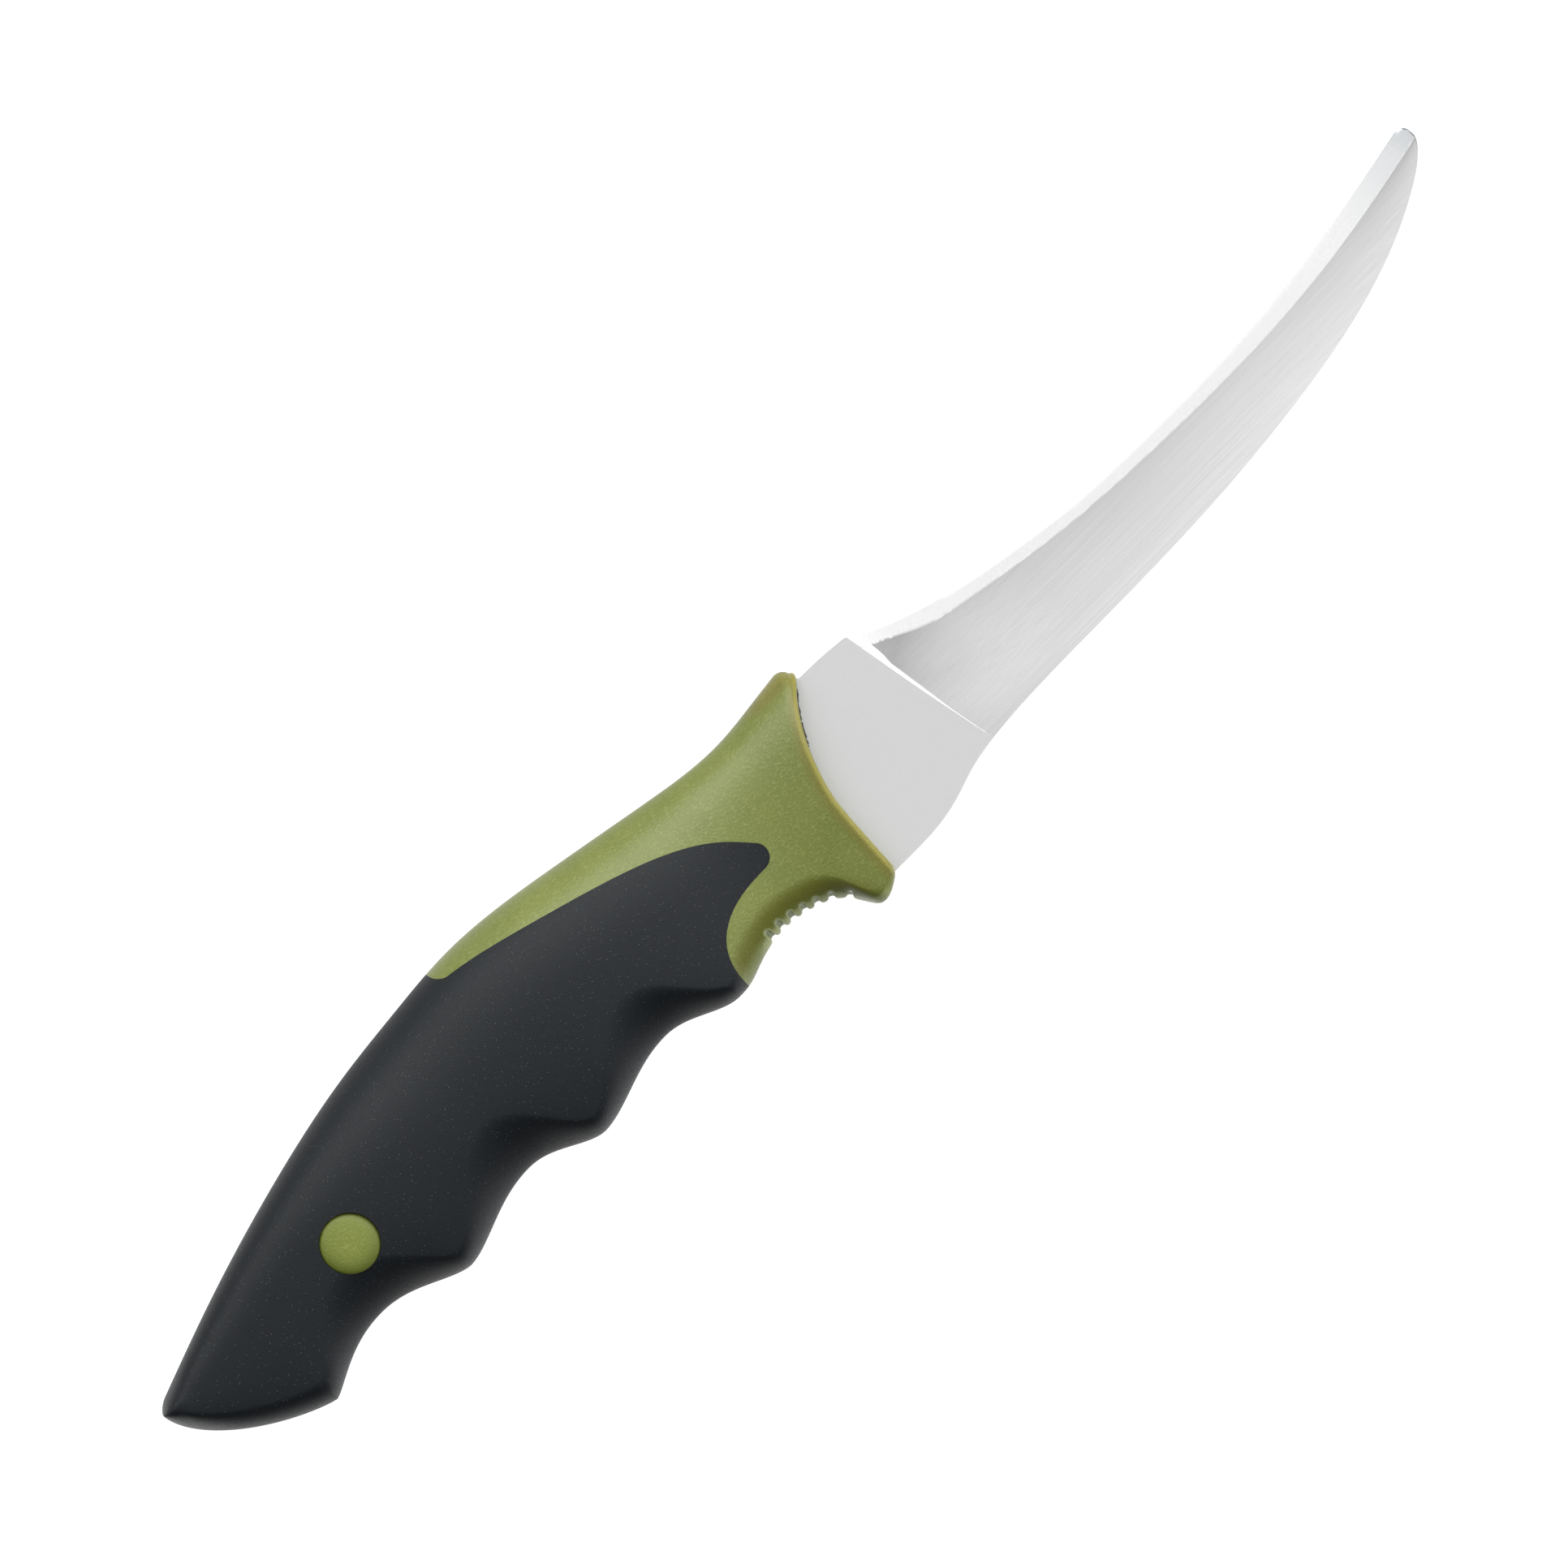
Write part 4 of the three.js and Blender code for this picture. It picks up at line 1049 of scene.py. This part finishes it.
cut(grip, window, "DIFFERENCE")
bpy.data.objects.remove(window)
seat(grip, MOULDING_CREASE)

BLACK = (0.0045, 0.0065, 0.0085)
PORE_BLACK = ((0.002, 0.0037, 0.0056), (0.0058, 0.0088, 0.0118))
DUST_GREY = (0.15, 0.15, 0.145)
SPECK_CORE = 0.4


def specks(finish, cell, radius):
    """Specks of dust strewn through space, a point in each cell, as a value from 0 to 1."""
    place = add_node(finish, "ShaderNodeTexCoord", {})
    inputs = {"Vector": place.outputs["Object"], "Scale": 1 / (cell * MM)}
    points = add_node(finish, "ShaderNodeTexVoronoi", inputs)
    return spread(finish, points.outputs["Distance"], 1, 0, SPECK_CORE * radius / cell, radius / cell)


black, shader = new_finish("soft_black", BLACK, roughness=0.52)
shader.inputs["Specular IOR Level"].default_value = 0.3
pores = grain(black, size=0.22, detail=3.0)
body = tint(black, pores, *PORE_BLACK)
body = tint(black, specks(black, cell=0.5, radius=0.055), body, DUST_GREY)
wire(black, body, shader.inputs["Base Color"])
wire(black, spread(black, pores, low=0.45, high=0.6), shader.inputs["Roughness"])
bumped(black, shader, pores, depth=0.06, strength=0.6)
grip.data.materials.append(black)
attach(grip, "root")
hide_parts("soft_grip")

# Badge. A plain domed disc of the green plastic in the grip's window, moulded by itself. A spigot under it,
# out of sight, is pressed into the core.

# The dome's steps from the rim to the middle: how far in, and how far up.
DOME_STEPS = ((0.08, 0.1), (0.2, 0.12), (0.5, 0.13), (0.8, 0.1), (1.0, 0.05), (1.0, 0.02))
bpy.ops.object.select_all(action="DESELECT")
bpy.ops.mesh.primitive_circle_add(vertices=BADGE_POINTS, radius=BADGE_RADIUS * MM, fill_type="NGON")
badge = bpy.context.active_object
badge.name = badge.data.name = "plain_badge"
bpy.ops.object.mode_set(mode="EDIT")
bpy.ops.mesh.select_all(action="SELECT")
wall = BADGE_SEAT - sum(rise for _, rise in DOME_STEPS)
bpy.ops.mesh.extrude_region_move(TRANSFORM_OT_translate={"value": (0, 0, wall * MM)})
for inset, rise in DOME_STEPS:
    bpy.ops.mesh.inset(thickness=inset * MM, depth=0)
    bpy.ops.transform.translate(value=(0, 0, rise * MM))
bpy.ops.mesh.select_all(action="SELECT")
bpy.ops.mesh.normals_make_consistent(inside=False)
bpy.ops.object.mode_set(mode="OBJECT")
badge.location = Vector((*BADGE_CENTRE, badge_surface - BADGE_SEAT)) * MM
bpy.ops.object.transform_apply(location=True, rotation=False, scale=False)
seat(badge, MOULDING_CREASE)

# The badge's painted shade: the way it darkens, its spread, its least share and its radii.
BADGE_DARK_WAY = (0.4, 0.9)
BADGE_DARK_SPREAD = (-0.6, 0.8)
BADGE_DARK_LEAST = 0.3
BADGE_DARK_RADII = (1.4, 3.6)


def painted_badge_shade(x, y, z):
    """Painted shade: 0 in the middle of the badge, rising to its rim, most of all towards the butt and the
    belly.
    """
    ahead, above = x - BADGE_CENTRE[0], y - BADGE_CENTRE[1]
    against = BADGE_DARK_WAY[0] * ahead + BADGE_DARK_WAY[1] * above
    lower = eased(-against / BADGE_RADIUS, *BADGE_DARK_SPREAD)
    return between(BADGE_DARK_LEAST, 1, lower) * eased(math.hypot(ahead, above), *BADGE_DARK_RADII)


paint(badge, "painted_badge_shade", painted_badge_shade)
BADGE_GREEN = (0.3, 0.35, 0.1)
BADGE_CLOUDS = ((0.14, 0.172, 0.019), (0.172, 0.206, 0.026))
BADGE_GRAIN = (0.3, 0.33, 0.07)
BADGE_SHADE_GREEN = (0.1, 0.127, 0.011)
satin_green, shader = new_finish("badge_green", BADGE_GREEN, roughness=0.45)
fine = grain(satin_green, size=0.3, detail=3.0)
wire(satin_green, spread(satin_green, fine, low=0.36, high=0.52), shader.inputs["Roughness"])
body = tint(satin_green, grain(satin_green, size=2.5), *BADGE_CLOUDS)
body = tint(satin_green, spread(satin_green, fine, low=0, high=0.4, start=0.5, end=0.72), body, BADGE_GRAIN)
# Painted shade: darker green at the badge's rim, most towards the butt and the belly.
body = tint(satin_green, painted(satin_green, "painted_badge_shade"), body, BADGE_SHADE_GREEN)
wire(satin_green, body, shader.inputs["Base Color"])
bumped(satin_green, shader, fine, depth=0.09, strength=0.6)
badge.data.materials.append(satin_green)
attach(badge, "root")
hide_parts("badge_upper")

# Studio. A white table in a white room that light nothing, in a tent of soft light: a ceiling above, a long
# bright box at the top of the picture, a dark side at its bottom and a grey ground below.
ROOM_SIDE = 8.0
PAPER = (0.3, 0.3, 0.3)
PAPER_GLOW = 0.95
paper, shader = new_finish("white_paper", PAPER, roughness=0.9)
shader.inputs["Specular IOR Level"].default_value = 0
shader.inputs["Emission Color"].default_value = (1, 1, 1, 1)
shader.inputs["Emission Strength"].default_value = PAPER_GLOW


def set_up(name):
    """Makes the new object a piece of the studio that only the camera sees."""
    white = bpy.context.active_object
    white.name = white.data.name = name
    white.data.materials.append(paper)
    white.visible_diffuse = False
    white.visible_glossy = False
    return white


bpy.ops.object.select_all(action="DESELECT")
bpy.ops.mesh.primitive_plane_add(size=ROOM_SIDE, location=(0, 0, 0))
set_up("table")
bpy.ops.object.select_all(action="DESELECT")
bpy.ops.mesh.primitive_cube_add(size=ROOM_SIDE, location=(0, 0, 0))
set_up("room").visible_shadow = False

# Brightness round the tent by angle: 0 is straight up, 90 the top of the picture, -90 its bottom.
TENT_STRENGTH = 3.9
TENT = (
    (-180, 1.5), (-145, 1.5), (-125, 0.95), (-110, 0.5), (-95, 0.22), (-80, 0.13), (-60, 0.08), (-40, 0.12),
    (-25, 0.28), (-12, 0.62), (0, 1.0), (12, 1.15), (22, 1.3), (34, 2.6), (44, 3.9), (58, 3.9), (68, 2.6),
    (78, 1.1), (90, 0.8), (110, 0.64), (145, 0.62), (165, 0.8), (180, 1.5),
)
# On the picture's left the tent falls off to a share of its strength, over these cosines.
TENT_END = 0.6
TENT_END_ALONG = (0.7, 0.82)
PICTURE_UP = Vector((1, 1, 0)).normalized()
PICTURE_LEFT = Vector((-1, 1, 0)).normalized()
sky = bpy.data.worlds.new("studio")
bpy.context.scene.world = sky
sky.use_nodes = True
ray = add_node(sky, "ShaderNodeTexCoord", {}).outputs["Generated"]
forward = add_node(sky, "ShaderNodeVectorMath", {0: ray, 1: PICTURE_UP}, operation="DOT_PRODUCT")
upward = add_node(sky, "ShaderNodeVectorMath", {0: ray, 1: (0, 0, 1)}, operation="DOT_PRODUCT")
sides = {0: forward.outputs["Value"], 1: upward.outputs["Value"]}
angle = add_node(sky, "ShaderNodeMath", sides, operation="ARCTAN2")
around = spread(sky, angle.outputs[0], low=0, high=1, start=-math.pi, end=math.pi)
ramp = add_node(sky, "ShaderNodeValToRGB", {"Fac": around})
while len(ramp.color_ramp.elements) < len(TENT):
    ramp.color_ramp.elements.new(0.5)
for element, (turn, level) in zip(ramp.color_ramp.elements, TENT):
    element.position = turn / 360 + 0.5
    element.color = (*[level / TENT_STRENGTH] * 3, 1)
backdrop = sky.node_tree.nodes["Background"]
wire(sky, ramp.outputs["Color"], backdrop.inputs["Color"])
leftward = add_node(sky, "ShaderNodeVectorMath", {0: ray, 1: PICTURE_LEFT}, operation="DOT_PRODUCT")
falling = leftward.outputs["Value"]
strength = spread(sky, falling, TENT_STRENGTH, TENT_STRENGTH * TENT_END, *TENT_END_ALONG)
wire(sky, strength, backdrop.inputs["Strength"])
bpy.context.scene.view_settings.view_transform = "Standard"
